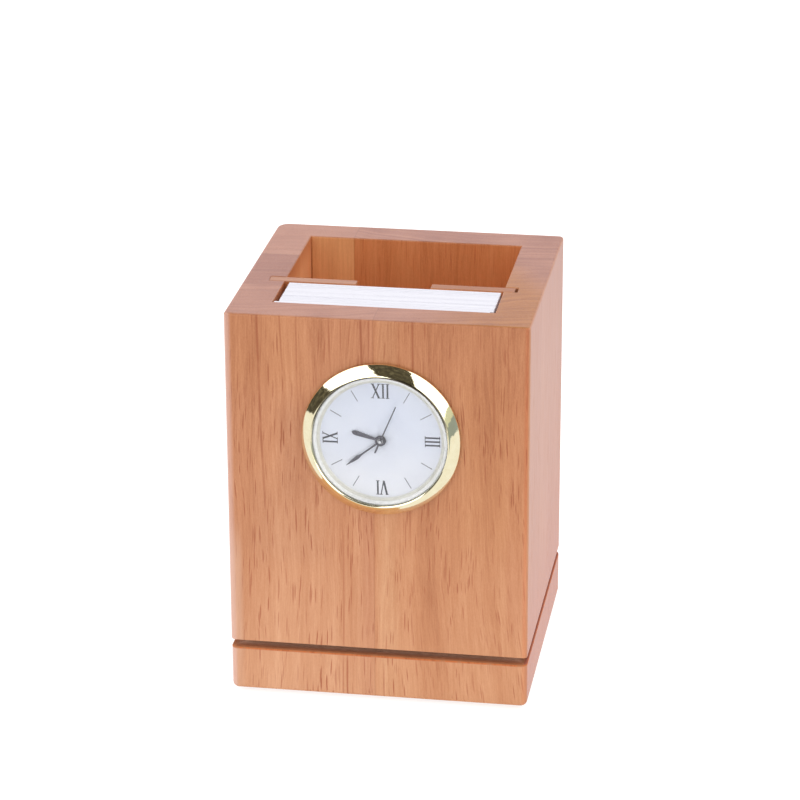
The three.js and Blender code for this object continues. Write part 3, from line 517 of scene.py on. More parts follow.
def paper_material():
    m, g = material("memo_paper")
    pos, normal = g.object_mm()
    x, y, z = g.split(pos)
    # sheet edges: fine lines across the thickness of the stack, on top and ends
    lines = g.noise(g.combine(g.mul(x, 0.012), g.mul(y, 7.0), g.mul(z, 0.012)), 1.0, 2.0, 0.6)
    lines2 = g.noise(g.combine(g.mul(x, 0.03), g.mul(y, 1.6), g.mul(z, 0.02)), 1.0, 1.0, 0.5)
    t = g.add(g.mul(lines, 0.55), g.mul(lines2, 0.45))
    edge = g.math("LESS_THAN", g.math("ABSOLUTE", g.split(normal)[1]), 0.6)
    fibres = g.noise(pos, 2.4, 3.0, 0.6)
    shade = g.ramp(t, [(0.28, (0.63, 0.63, 0.70)), (0.46, (0.735, 0.735, 0.80)), (0.7, (0.765, 0.76, 0.825))])
    flat = g.ramp(fibres, [(0.3, (0.77, 0.77, 0.83)), (0.7, (0.80, 0.80, 0.86))])
    p = g.principled(g.mix(edge, flat, shade), 0.75, Specular_IOR_Level=0.2)
    g.put(p.inputs["Normal"], g.bump(g.add(g.mul(lines, edge), g.mul(fibres, 0.3)), 0.03, 0.5))
    g.output(p.outputs[0])
    return m


def felt_material():
    m, g = material("felt_green_grey")
    pos, _ = g.object_mm()
    f1 = g.noise(pos, 1.6, 4.0, 0.7, 1.2)
    f2 = g.noise(g.combine(*[g.mul(c, s) for c, s in zip(g.split(pos), (0.6, 3.2, 1.0))]), 1.0, 3.0, 0.7, 2.0)
    t = g.add(g.mul(f1, 0.6), g.mul(f2, 0.4))
    p = g.principled(g.ramp(t, [(0.3, (0.018, 0.030, 0.024)), (0.7, (0.050, 0.072, 0.058))]), 0.95, Specular_IOR_Level=0.1, Sheen_Weight=0.4, Sheen_Roughness=0.5)
    g.put(p.inputs["Normal"], g.bump(t, 0.15, 0.8))
    g.output(p.outputs[0])
    return m


def ink_material():
    m, g = material("dial_ink")
    pos, _ = g.object_mm()
    n = g.noise(pos, 3.0, 3.0, 0.6)
    p = g.principled(g.ramp(n, [(0.3, (0.030, 0.030, 0.044)), (0.7, (0.060, 0.060, 0.078))]), g.add(0.45, g.mul(n, 0.15)), Specular_IOR_Level=0.35)
    g.output(p.outputs[0])
    return m


def thin_ink_material():
    m, g = material("dial_marker_ink")
    pos, _ = g.object_mm()
    n = g.noise(pos, 3.0, 3.0, 0.6)
    p = g.principled(g.ramp(n, [(0.3, (0.17, 0.17, 0.20)), (0.7, (0.25, 0.25, 0.29))]), g.add(0.45, g.mul(n, 0.15)), Specular_IOR_Level=0.35)
    g.output(p.outputs[0])
    return m


def board_material():
    m, g = material("circuit_board")
    pos, _ = g.object_mm()
    weave = g.noise(pos, 4.0, 3.0, 0.6)
    cells = g.voronoi(g.combine(*[g.mul(c, 0.7) for c in g.split(pos)]))
    t = g.add(g.mul(weave, 0.6), g.mul(g.smooth(cells, 0.25, 0.30), 0.4))
    p = g.principled(g.ramp(t, [(0.25, (0.012, 0.10, 0.04)), (0.8, (0.03, 0.20, 0.08))]), 0.35)
    g.put(p.inputs["Normal"], g.bump(t, 0.03, 0.5))
    g.output(p.outputs[0])
    return m


def copper_material():
    m, g = material("copper_winding")
    pos, _ = g.object_mm()
    x, y, z = g.split(pos)
    turns = g.math("SINE", g.mul(z, 2 * math.pi / 0.09))
    n = g.noise(pos, 3.0, 2.0)
    col = g.ramp(g.add(g.mul(turns, 0.25), n), [(0.2, (0.35, 0.10, 0.035)), (0.8, (0.80, 0.36, 0.16))])
    p = g.principled(col, g.add(0.3, g.mul(n, 0.1)), Metallic=1.0)
    g.put(p.inputs["Normal"], g.bump(turns, 0.03, 0.8))
    g.output(p.outputs[0])
    return m


WOOD = wood_material("oiled_hardwood")
WOOD_DIVIDER = wood_material("oiled_hardwood_divider", "long")
WOOD_DULL = wood_material("bare_hardwood", "end", True)
GOLD = gold_material()
CREAM = ring_material()
LENS = lens_material()
DIAL = dial_material()
INK = ink_material()
THIN_INK = thin_ink_material()
HAND = metal_material("hand_gunmetal", (0.052, 0.050, 0.068), (0.085, 0.082, 0.105), 0.44, 1.5, 0.10, metallic=0.6)
STEEL = metal_material("zinc_plated_steel", (0.42, 0.43, 0.45), (0.62, 0.63, 0.65), 0.32)
BRASS = metal_material("brass", (0.62, 0.42, 0.16), (0.82, 0.60, 0.28), 0.28)
GASKET = plastic_material("lens_gasket_grey", (0.37, 0.37, 0.32), (0.46, 0.46, 0.40), 0.5)
BLACK = plastic_material("black_plastic", (0.012, 0.012, 0.013), (0.028, 0.028, 0.030), 0.42)
IVORY = plastic_material("ivory_plastic", (0.60, 0.56, 0.44), (0.70, 0.66, 0.54), 0.40)
BOARD = board_material()
COPPER = copper_material()
PAPER = paper_material()
FELT = felt_material()


# ---------------------------------------------------------------- mesh helpers
def make(name, verts, faces, mat, sharp=38.0, weld=1e-5):
    me = bpy.data.meshes.new(name)
    bm = bmesh.new()
    vs = [bm.verts.new(Vector(v) * MM) for v in verts]
    for f in faces:
        idx = [i for k, i in enumerate(f) if i != f[k - 1]]
        if len(set(idx)) >= 3:
            try:
                bm.faces.new([vs[i] for i in idx])
            except ValueError:
                pass
    bmesh.ops.remove_doubles(bm, verts=bm.verts, dist=weld * MM * 10)
    bmesh.ops.dissolve_degenerate(bm, edges=bm.edges, dist=weld * MM)
    loose = [v for v in bm.verts if not v.link_faces]
    if loose:
        bmesh.ops.delete(bm, geom=loose, context="VERTS")
    bmesh.ops.recalc_face_normals(bm, faces=bm.faces)
    bm.to_mesh(me)
    bm.free()
    for p in me.polygons:
        p.use_smooth = True
    me.set_sharp_from_angle(angle=math.radians(sharp))
    me.materials.append(mat)
    ob = bpy.data.objects.new(name, me)
    scene.collection.objects.link(ob)
    return ob


def weighted(ob):
    m = ob.modifiers.new("even_shading", "WEIGHTED_NORMAL")
    m.keep_sharp = True
    m.weight = 60
    return ob


def rounded_rect(w, d, r, segs=8, cx=0.0, cy=0.0):
    """Counter-clockwise points; the first of each corner's points starts its arc. r is one radius or four, from
    the front right corner on."""
    pts = []
    radii = r if isinstance(r, (list, tuple)) else (r, r, r, r)
    for (sx, sy, a0), c in zip(((1, -1, -90), (1, 1, 0), (-1, 1, 90), (-1, -1, 180)), radii):
        for k in range(segs + 1):
            a = math.radians(a0 + 90.0 * k / segs)
            pts.append((cx + sx * (w / 2 - c) + c * math.cos(a), cy + sy * (d / 2 - c) + c * math.sin(a)))
    return pts


def circle(r, segs, cx=0.0, cy=0.0):
    return [(cx + r * math.cos(2 * math.pi * k / segs), cy + r * math.sin(2 * math.pi * k / segs)) for k in range(segs)]


class Solid:
    """Collects closed loops, strips between them and flat faces with holes."""

    def __init__(self):
        self.v, self.f = [], []

    def loop(self, pts):
        i = len(self.v)
        self.v += [tuple(p) for p in pts]
        return list(range(i, i + len(pts)))

    def flat(self, pts2, z):
        return self.loop([(p[0], p[1], z) for p in pts2])

    def strip(self, a, b, skip=()):
        n = len(a)
        for k in range(n):
            if k not in skip:
                self.f.append((a[k], a[(k + 1) % n], b[(k + 1) % n], b[k]))

    def cap(self, loops):
        """Flat face: the first loop is the outline, the rest are holes."""
        if len(loops) == 1:
            self.f.append(tuple(loops[0]))
            return
        flat = [i for l in loops for i in l]
        tris = tessellate_polygon([[Vector(self.v[i]) for i in l] for l in loops])
        for t in tris:
            self.f.append(tuple(flat[i] for i in t))


def clock_point(x, y, z):
    """Clock frame: x right, y up, z out of the face."""
    return (CX + x, CY - z, CZ + y)


def lathe(name, profile, mat, segs=160, sharp=38.0, closed=True):
    """Body of revolution about the clock's axis from a (radius, height) profile."""
    s = Solid()
    rings = []
    for r, z in profile:
        if r < 1e-6:
            rings.append(s.loop([clock_point(0, 0, z)]) * segs)
        else:
            rings.append(s.loop([clock_point(r * math.cos(2 * math.pi * k / segs), r * math.sin(2 * math.pi * k / segs), z) for k in range(segs)]))
    pairs = list(zip(rings, rings[1:] + ([rings[0]] if closed else [])))
    for a, b in pairs:
        s.strip(a, b)
    return make(name, s.v, s.f, mat, sharp)


def rounded_profile(pts, radii, segs=5):
    """Rounds the corners of a closed (r, z) profile."""
    out = []
    n = len(pts)
    for i in range(n):
        p, r = Vector(pts[i]), radii[i]
        if r <= 0:
            out.append(tuple(p))
            continue
        a, b = (Vector(pts[i - 1]) - p), (Vector(pts[(i + 1) % n]) - p)
        la, lb = a.length, b.length
        a.normalize(); b.normalize()
        half = math.acos(max(-1.0, min(1.0, a.dot(b)))) / 2
        if half > math.radians(88):
            out.append(tuple(p))
            continue
        t = min(r / math.tan(half), la * 0.49, lb * 0.49)
        rr = t * math.tan(half)
        c = p + (a + b).normalized() * (rr / math.sin(half))
        p0, p1 = p + a * t, p + b * t
        a0 = math.atan2(p0.y - c.y, p0.x - c.x)
        a1 = math.atan2(p1.y - c.y, p1.x - c.x)
        d = a1 - a0
        while d > math.pi:
            d -= 2 * math.pi
        while d < -math.pi:
            d += 2 * math.pi
        for k in range(segs + 1):
            ang = a0 + d * k / segs
            out.append((c.x + rr * math.cos(ang), c.y + rr * math.sin(ang)))
    return out


# ---------------------------------------------------------------- housing, glued up and sanded as one
def build_housing():
    s = Solid()
    seg = 8
    r_top, r_low, r_in = 0.9, 0.25, 0.45

    def outer(inset, z):
        return s.flat(rounded_rect(W - 2 * inset, D - 2 * inset, [c - inset for c in R_EDGE], seg), z)

    def arc(r, n):
        return [(r - r * math.sin(math.pi / 2 * k / n), r - r * math.cos(math.pi / 2 * k / n)) for k in range(n + 1)]

    # outer wall, upwards: rounded foot, straight wall, rounded top
    loops = [outer(i, Z_BODY + h) for i, h in [(0.25, 0.0), (0.08, 0.06), (0.0, 0.25)]]
    low_wall = loops[-1]
    high_wall = outer(0.0, Z_TOP - r_top)
    steps = 6
    tops = []
    for k in range(1, steps + 1):
        a = math.pi / 2 * k / steps
        tops.append(outer(r_top - r_top * math.cos(a), Z_TOP - r_top + r_top * math.sin(a)))
    for a, b in zip(loops, loops[1:]):
        s.strip(a, b)
    # the flat front is the strip quad that ends the loop
    n = len(low_wall)
    front = n - 1
    s.strip(low_wall, high_wall, skip=(front,))
    chain = [high_wall] + tops
    for a, b in zip(chain, chain[1:]):
        s.strip(a, b)
    # front face with the blind hole
    hole = s.loop([(CX + p[0], -D / 2, CZ + p[1]) for p in circle(HOLE_R, 120)])
    hole_lip = s.loop([(CX + p[0], -D / 2 + 0.2, CZ + p[1]) for p in circle(HOLE_R - 0.0, 120)])
    hole_end = s.loop([(CX + p[0], -D / 2 + HOLE_DEEP, CZ + p[1]) for p in circle(HOLE_R, 120)])
    rect = [low_wall[front], low_wall[0], high_wall[0], high_wall[front]]
    s.cap([rect, hole])
    s.strip(hole, hole_lip)
    s.strip(hole_lip, hole_end)
    s.cap([hole_end])

    # inner outline with the two kerfs for the divider, counter-clockwise
    def inner(o, z, kerfs=True, lean=0.0):
        x, y = X_IN + o, Y_IN + o
        xl = lean - x
        if kerfs:
            pts = [
                (x, -y), (x, KERF_Y0 - o), (KERF_R + o, KERF_Y0 - o), (KERF_R + o, KERF_Y1 + o), (x, KERF_Y1 + o), (x, y),
                (xl, y), (xl, KERF_Y1 + o), (KERF_L - o, KERF_Y1 + o), (KERF_L - o, KERF_Y0 - o), (xl, KERF_Y0 - o), (xl, -y),
            ]
        else:
            pts = [(x, -y), (x, KERF_Y0), (x, KERF_Y1), (x, y), (-x, y), (-x, KERF_Y1), (-x, KERF_Y0), (-x, -y)]
        return s.flat(pts, z)

    ins = []
    for k in range(steps + 1):
        a = math.pi / 2 * k / steps
        ins.append(inner(r_in - r_in * math.sin(a), Z_TOP - r_in + r_in * math.cos(a), lean=0.5))
    for a, b in zip(ins, ins[1:]):
        s.strip(a, b)
    s.cap([tops[-1], ins[0]])
    kerf_low = inner(0.0, Z_FLOOR)
    s.strip(ins[-1], kerf_low)
    s.f.append((kerf_low[1], kerf_low[2], kerf_low[3], kerf_low[4]))
    s.f.append((kerf_low[7], kerf_low[8], kerf_low[9], kerf_low[10]))
    mid = [kerf_low[0], kerf_low[1], kerf_low[4], kerf_low[5], kerf_low[6], kerf_low[7], kerf_low[10], kerf_low[11]]
    foot = inner(0.0, Z_BODY, kerfs=False)
    s.strip(mid, foot)
    s.cap([loops[0], foot])
    return weighted(dull_band(make("housing_shell", s.v, s.f, WOOD, 42.0), 18.3, 18.5))


housing_shell = build_housing()
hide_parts("front_board", "back_board", "left_board", "right_board")
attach(housing_shell, "housing")


# ---------------------------------------------------------------- base block
def build_base():
    s = Solid()
    r, r_up = 1.8, 0.75
    seg, steps = 8, 7

    def outer(inset, z):
        return s.flat(rounded_rect(W - 2 * inset, D - 2 * inset, [max(c - inset, 0.3) + 0.25 for c in (2.0, 1.8, 3.2, 2.0)], seg), z)

    chain = []
    for k in range(steps + 1):
        a = math.pi / 2 * k / steps
        chain.append(outer(r - r * math.sin(a), Z_BASE + r - r * math.cos(a)))
    for k in range(steps + 1):
        a = math.pi / 2 * k / steps
        chain.append(outer(r_up - r_up * math.cos(a), Z_BASE_TOP - r_up + r_up * math.sin(a)))
    for a, b in zip(chain, chain[1:]):
        s.strip(a, b)
    # recess for the lower plate, with a deeper round for the eyelet
    z_p, z_e, z_c = Z_BASE_TOP - 3.0, Z_BASE_TOP - 4.1, Z_BASE + 3.2
    mouth = s.flat(rounded_rect(64.0, 64.0, 6.0, 8), Z_BASE_TOP)
    floor = s.flat(rounded_rect(64.0, 64.0, 6.0, 8), z_p)
    s.cap([chain[-1], mouth])
    s.strip(mouth, floor)
    well_t, well_b = s.flat(circle(9.8, 48), z_p), s.flat(circle(9.8, 48), z_e)
    s.strip(well_t, well_b)
    s.cap([well_b])
    tops, lows = [], []
    for x in (-24.0, 24.0):
        for y in (-24.0, 24.0):
            a, b = s.flat(circle(1.9, 24, x, y), z_p), s.flat(circle(1.9, 24, x, y), z_c)
            c, d = s.flat(circle(3.5, 32, x, y), z_c), s.flat(circle(3.5, 32, x, y), Z_BASE)
            s.strip(a, b)
            s.cap([c, b])
            s.strip(c, d)
            tops.append(a)
            lows.append(d)
    s.cap([floor, well_t] + tops)
    s.cap([chain[0]] + lows)
    return weighted(dull_band(make("base_block_wood", s.v, s.f, WOOD, 42.0), 15.55, 16.3))


base_wood = build_base()
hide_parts("base_block")
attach(base_wood, "base")


# ---------------------------------------------------------------- divider with its finger notch
def build_divider():
    s = Solid()
    x0, x1, z0, z1, zn, r = -39.4, 38.4, 28.7, 128.7, 112.7, 6.0
    nx0, nx1 = -11.8, 12.0
    e = 0.3  # eased edge

    def outline(o):
        pts = [(x0 + o, z0 + o), (x1 - o, z0 + o), (x1 - o, z1 - o), (nx1 + o, z1 - o)]
        rr = r + o
        for k in range(13):
            a = -math.pi / 2 * k / 12
            pts.append((nx1 - r + rr * math.cos(a), zn + r + rr * math.sin(a)))
        for k in range(13):
            a = -math.pi / 2 - math.pi / 2 * k / 12
            pts.append((nx0 + r + rr * math.cos(a), zn + r + rr * math.sin(a)))
        pts += [(nx0 - o, z1 - o), (x0 + o, z1 - o)]
        return pts

    chain = []
    for k in range(5):
        a = math.pi / 2 * k / 4
        o, dy = e - e * math.sin(a), e - e * math.cos(a)
        chain.append(s.loop([(px, -12.8 + dy, pz) for px, pz in outline(o)]))
    for k in range(5):
        a = math.pi / 2 * k / 4
        o, dy = e - e * math.cos(a), e - e * math.sin(a)
        chain.append(s.loop([(px, -8.8 - dy, pz) for px, pz in outline(o)]))
    for a, b in zip(chain, chain[1:]):
        s.strip(a, b)
    for c in (chain[0], chain[-1]):
        tris = tessellate_polygon([[Vector((s.v[i][0], s.v[i][2], 0.0)) for i in c]])
        s.f += [tuple(c[i] for i in t) for t in tris]
    return weighted(make("divider_panel", s.v, s.f, WOOD_DIVIDER, 42.0))


divider = build_divider()
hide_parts("divider")
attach(divider, "housing")


# ---------------------------------------------------------------- memo sheets
def build_sheets():
    rnd = random.Random(11)
    s = Solid()
    z0, top = 28.7, 128.55
    y, y_end = -32.38, -13.42
    lip = True
    while y < y_end - 0.05:
        t = min(rnd.choice((0.2, 0.2, 0.3, 0.3, 0.4, 0.5)), y_end - y)
        front = y < -31.45
        dx = -1.0 if front else 0.0
        jit = rnd.uniform(-0.10, 0.10)
        xa = -32.75 + dx * (1.25 if front else 1.0) + jit
        xb = 34.30 + dx + jit
        zt = top - abs(rnd.gauss(0.0, 0.07)) - (0.0 if front else 0.03)
        if front:
            zt = top
        if y > -14.6:
            zt = top - 0.02 - 0.04 * rnd.random()
        ya, yb = y, y + t - 0.012
        lo = s.loop([(xa, ya, z0), (xb, ya, z0), (xb, yb, z0), (xa, yb, z0)])
        hi = s.loop([(xa, ya, zt), (xb, ya, zt), (xb, yb, zt), (xa, yb, zt)])
        s.cap([lo])
        s.cap([hi])
        s.strip(lo, hi)
        y += t
    return make("memo_sheets", s.v, s.f, PAPER, 30.0, 1e-6)


sheets = build_sheets()
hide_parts("memo_stack")
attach(sheets, "memo")


# ---------------------------------------------------------------- felt pad
def build_pad():
    rnd = random.Random(5)
    s = Solid()
    segs = 6
    chain = []
    e = 0.3
    for k in range(4):
        a = math.pi / 2 * k / 3
        chain.append(s.flat(rounded_rect(83.9 - 2 * (e - e * math.sin(a)), 78.9 - 2 * (e - e * math.sin(a)), 3.0, segs), 0.01 + e - e * math.cos(a)))
    for k in range(4):
        a = math.pi / 2 * k / 3
        chain.append(s.flat(rounded_rect(83.9 - 2 * (e - e * math.cos(a)), 78.9 - 2 * (e - e * math.cos(a)), 3.0, segs), 1.14 - e + e * math.sin(a)))
    for a, b in zip(chain, chain[1:]):
        s.strip(a, b)
    # gently uneven underside: nested outlines sink and rise a little towards the middle
    for end, z, sign in ((chain[0], 0.01, 1), (chain[-1], 1.14, -1)):
        prev = end
        for k in range(1, 12):
            f = 1 - k / 12
            ring = []
            for px, py in rounded_rect(83.3 * f, 78.3 * f, 3.0 * f, segs):
                ring.append((px, py, z + sign * 0.05 * rnd.random()))
            cur = s.loop(ring)
            s.strip(prev, cur)
            prev = cur
        s.cap([prev])
    return make("felt_pad", s.v, s.f, FELT, 60.0)


pad = build_pad()
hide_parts("rest_pad")
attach(pad, "base")


# ---------------------------------------------------------------- clock: bezel, lens, ring, dial
crown = []
slope_z, slope_r = 1.42, 24.77
for k in range(17):
    crown.append((slope_r, slope_z))
    lean = math.radians(46.0 - 15.0 * (k + 0.5) / 17)
    slope_r -= 3.06 / 17
    slope_z += 3.06 / 17 * math.tan(lean)
bezel_pts = [(22.62, -2.38), (22.62, 0.24), (24.84, 0.24), (24.87, 1.20)] + crown + [(21.52, 3.86), (21.20, 3.68), (21.20, 3.32), (22.13, 3.32), (22.13, -2.38)]
bezel_rad = [0.05, 0.03, 0.10, 0.15] + [0.0] * 17 + [0.18, 0.12, 0.05, 0.0, 0.05]
bezel = lathe("clock_bezel_ring", rounded_profile(bezel_pts, bezel_rad, 4), GOLD, 192, 50.0)
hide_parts("clock_bezel")
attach(bezel, "clock")

lens_pts = []
for k in range(13):
    r = 21.1 * k / 12
    lens_pts.append((r, 4.18 - 0.98 * (r / 21.1) ** 2 - 0.02))
under = [(21.8, 3.12), (21.8, 2.88), (20.6, 2.88)]
for k in range(12, -1, -1):
    r = 20.4 * k / 12
    under.append((r, 3.33 - 0.45 * (r / 20.4) ** 2))
lens = lathe("clock_lens_dome", lens_pts + under, LENS, 128, 40.0, closed=False)
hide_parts("clock_lens")
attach(lens, "clock")

ring_pts = [(18.90, 1.32), (18.92, 1.50), (19.30, 1.74), (19.42, 1.74), (19.86, 2.08), (20.00, 2.06), (20.40, 2.42), (20.56, 2.42), (20.86, 2.66), (21.82, 2.70), (21.82, 1.32)]
ring = lathe("inner_ring_steps", rounded_profile(ring_pts, [0, 0.05, 0.05, 0.05, 0.05, 0.05, 0.05, 0.05, 0.05, 0.02, 0.0], 3), CREAM, 160, 40.0)
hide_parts("inner_ring")
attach(ring, "clock")

gasket = lathe("lens_gasket", rounded_profile([(20.84, 2.72), (21.60, 2.72), (21.60, 2.86), (20.92, 2.86)], [0.03, 0.02, 0.02, 0.05], 3), GASKET, 160, 40.0)
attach(gasket, "clock")

dial_pts = [(1.55, 0.92), (21.66, 0.92), (21.68, 0.95), (21.68, 1.27), (21.64, 1.29), (14.0, 1.29), (6.0, 1.29), (1.61, 1.29), (1.55, 1.25)]
dial = lathe("dial_plate", dial_pts, DIAL, 128, 40.0)
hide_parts("dial")
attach(dial, "clock")


# numerals: strokes with serifs, in a frame where y runs from the dial centre outwards
DIAL_TOP = 1.29


def stroke(s, quad, lift, turn):
    c, n = math.cos(turn + FACE_TURN), math.sin(turn + FACE_TURN)
    pts = [((p[0] * c - p[1] * n) * FACE_K + 0.20, (p[0] * n + p[1] * c) * FACE_K + 0.22) for p in quad]
    lo = s.loop([clock_point(px, py, DIAL_TOP - 0.03) for px, py in pts])
    hi = s.loop([clock_point(px, py, DIAL_TOP + lift) for px, py in pts])
    s.cap([lo])
    s.cap([hi])
    s.strip(lo, hi)


def bar(x0, y0, x1, y1, w):
    """Slanted stroke, cut level at its top and bottom; w is its width across."""
    return [(x0 - w / 2, y0), (x0 + w / 2, y0), (x1 + w / 2, y1), (x1 - w / 2, y1)]


def numeral_strokes(kind, x, h0, h1, w):
    """Strokes of one letter, centred at x, from height h0 to h1."""
    out = []
    serif = 0.20
    if kind == "I":
        out.append((bar(x, h0, x, h1, 0.54), 0.030))
        for y in (h0, h1 - serif):
            out.append(([(x - w / 2, y), (x + w / 2, y), (x + w / 2, y + serif), (x - w / 2, y + serif)], 0.024))
    if kind == "X":
        a = w / 2 - 0.34
        out.append((bar(x + a, h0, x - a, h1, 0.64), 0.030))
        out.append((bar(x - a, h0, x + a, h1, 0.34), 0.027))
        for sx in (-1, 1):
            for y in (h0, h1 - serif):
                out.append(([(x + sx * a - 0.50, y), (x + sx * a + 0.50, y), (x + sx * a + 0.50, y + serif), (x + sx * a - 0.50, y + serif)], 0.024))
    if kind == "V":
        a = w / 2 - 0.34
        out.append((bar(x + 0.06, h0, x - a, h1, 0.64), 0.030))
        out.append((bar(x + 0.06, h0, x + a, h1, 0.34), 0.027))
        for sx in (-1, 1):
            y = h1 - serif
            out.append(([(x + sx * a - 0.50, y), (x + sx * a + 0.50, y), (x + sx * a + 0.50, y + serif), (x + sx * a - 0.50, y + serif)], 0.024))
    return out


def build_numeral(name, letters, hour):
    s = Solid()
    turn = -math.radians(30.0 * hour)
    for kind, x, w in letters:
        for quad, lift in numeral_strokes(kind, x, 13.75, 18.55, w):
            stroke(s, quad, lift, turn)
    ob = make(name, s.v, s.f, INK, 30.0, 1e-6)
    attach(ob, "clock")
    return ob


build_numeral("numeral_12", [("X", -1.45, 2.75), ("I", 0.85, 1.15), ("I", 2.25, 1.15)], 12)
build_numeral("numeral_3", [("I", -1.25, 1.15), ("I", 0.0, 1.15), ("I", 1.25, 1.15)], 3)
build_numeral("numeral_6", [("V", -0.60, 2.60), ("I", 1.35, 1.10)], 6)
build_numeral("numeral_9", [("I", -1.35, 1.10), ("X", 0.60, 2.60)], 9)

marks = Solid()
for hour in (1, 2, 4, 5, 7, 8, 10, 11):
    stroke(marks, [(-0.13, 14.4), (0.13, 14.4), (0.13, 18.4), (-0.13, 18.4)], 0.022, -math.radians(30.0 * hour))
markers = make("hour_markers", marks.v, marks.f, THIN_INK, 30.0, 1e-6)
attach(markers, "clock")


# ---------------------------------------------------------------- hands
def turned(deg):
    a = -math.radians(deg)
    c, n = math.cos(a), math.sin(a)
    return lambda x, y, z: clock_point(x * c - y * n, x * n + y * c, z)


def build_hand(name, half, z0, z1, hub, bore, deg, hub_z=None, tail=None):
    """Blade from half outline points (half width, height along the hand), plus a hub ring; edges eased."""
    place = turned(deg)
    s = Solid()
    e = min(0.05, (z1 - z0) / 3)
    outline = [(w, y) for w, y in half] + [(-w, y) for w, y in reversed(half) if w > 0]

    def level(o, z):
        return s.loop([place((math.copysign(max(abs(px) - o, 0.0), px) if px else 0.0) * FACE_K, py * FACE_K, z) for px, py in outline])

    chain = [level(e, z0), level(0.0, z0 + e), level(0.0, z1 - e), level(e, z1)]
    for a, b in zip(chain, chain[1:]):
        s.strip(a, b)
    for c in (chain[0], chain[-1]):
        s.cap([c])
    hz0, hz1 = hub_z or (z0, z1 + 0.03)
    segs = 64
    prof = rounded_profile([(bore, hz0), (hub, hz0), (hub, hz1), (bore, hz1)], [0.0, 0.04, 0.08, 0.05], 4)
    rings = [s.loop([place(r * math.cos(2 * math.pi * k / segs), r * math.sin(2 * math.pi * k / segs), z) for k in range(segs)]) for r, z in prof]
    for a, b in zip(rings, rings[1:] + [rings[0]]):
        s.strip(a, b)
    return make(name, s.v, s.f, HAND, 45.0, 1e-6)


hour_hand = build_hand("hour_hand_blade", [(0.40, 1.62), (0.46, 2.6), (0.62, 5.2), (0.76, 7.9), (0.72, 8.5), (0.46, 9.0), (0.0, 9.42)], 1.56, 1.74, 1.73, 1.42, HOUR_ANGLE)
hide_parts("hour_hand")
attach(hour_hand, "hour_train")

minute_hand = build_hand("minute_hand_blade", [(0.28, 1.48), (0.27, 4.0), (0.27, 7.6), (0.38, 8.3), (0.60, 9.2), (0.52, 10.4), (0.28, 12.4), (0.0, 14.0)], 2.06, 2.24, 1.58, 0.95, MINUTE_ANGLE)
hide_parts("minute_hand")
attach(minute_hand, "minute_train")

second_hand = build_hand("second_hand_blade", [(0.28, -4.08), (0.29, -2.6), (0.24, -0.3), (0.23, 0.4), (0.20, 6.0), (0.175, 12.9)], 2.61, 2.74, 0.65, 0.34, SECOND_ANGLE, (2.56, 2.99))
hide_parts("second_hand")
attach(second_hand, "second_train")

cap_pts = [(0.0, 3.16), (0.18, 3.15), (0.34, 3.12), (0.46, 3.07), (0.50, 3.02), (0.50, 3.0), (0.0, 3.0)]
cap = lathe("second_hand_cap", cap_pts, STEEL, 48, 50.0, closed=False)
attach(cap, "second_train")


# ---------------------------------------------------------------- carried-over CAD nodes
def ease(node, width_mm, segments=2, angle=40.0):
    """Welds a CAD mesh and rounds its edges, as modifiers."""
    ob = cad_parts[node]
    w = ob.modifiers.new("weld", "WELD")
    w.merge_threshold = 2e-6
    b = ob.modifiers.new("eased_edges", "BEVEL")
    b.width = width_mm * MM
    b.segments = segments
    b.limit_method = "ANGLE"
    b.angle_limit = math.radians(angle)
    b.use_clamp_overlap = True
    b.harden_normals = False
    for p in ob.data.polygons:
        p.use_smooth = False
    return ob


SLOT_MATERIAL = {
    "wood": WOOD, "gold": GOLD, "ring_metal": CREAM, "lens_glass": LENS, "dial_white": DIAL, "hand_metal": HAND, "steel": STEEL,
    "brass": BRASS, "black_plastic": BLACK, "ivory_plastic": IVORY, "green_board": BOARD, "copper": COPPER, "paper": PAPER, "felt": FELT,
}
NODE_SLOT = {
    "floor_board": "wood", "swivel_lower_plate": "steel", "swivel_upper_plate": "steel", "swivel_eyelet": "steel", "ball_cage": "brass",
    "clock_case": "black_plastic", "retaining_ring": "black_plastic", "movement_ring": "ivory_plastic", "movement_plate": "ivory_plastic",
    "movement_cover": "ivory_plastic", "circuit_board": "green_board", "quartz_crystal": "steel", "timing_chip": "black_plastic",
    "coil": "copper", "stator": "steel", "button_cell": "steel", "cell_contact": "brass", "cell_hatch": "black_plastic",
    "cannon_pinion": "steel", "minute_wheel": "brass", "hour_wheel": "brass", "set_knob": "black_plastic", "centre_wheel": "brass",
    "third_wheel": "ivory_plastic", "second_wheel": "ivory_plastic", "fifth_wheel": "ivory_plastic", "rotor": "black_plastic",
}
for i in range(1, 9):
    NODE_SLOT[f"ball_{i}"] = "steel"
for i in range(1, 5):
    NODE_SLOT[f"base_screw_{i}"] = "steel"
    NODE_SLOT[f"plate_screw_{i}"] = "steel"

for node, slot in NODE_SLOT.items():
    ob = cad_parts[node]
    ob.data.materials.clear()
    ob.data.materials.append(SLOT_MATERIAL[slot])

ease("floor_board", 0.3)
for node in ("swivel_lower_plate", "swivel_upper_plate", "swivel_eyelet", "clock_case", "movement_ring", "cell_hatch", "button_cell"):
    ease(node, 0.12, 2)


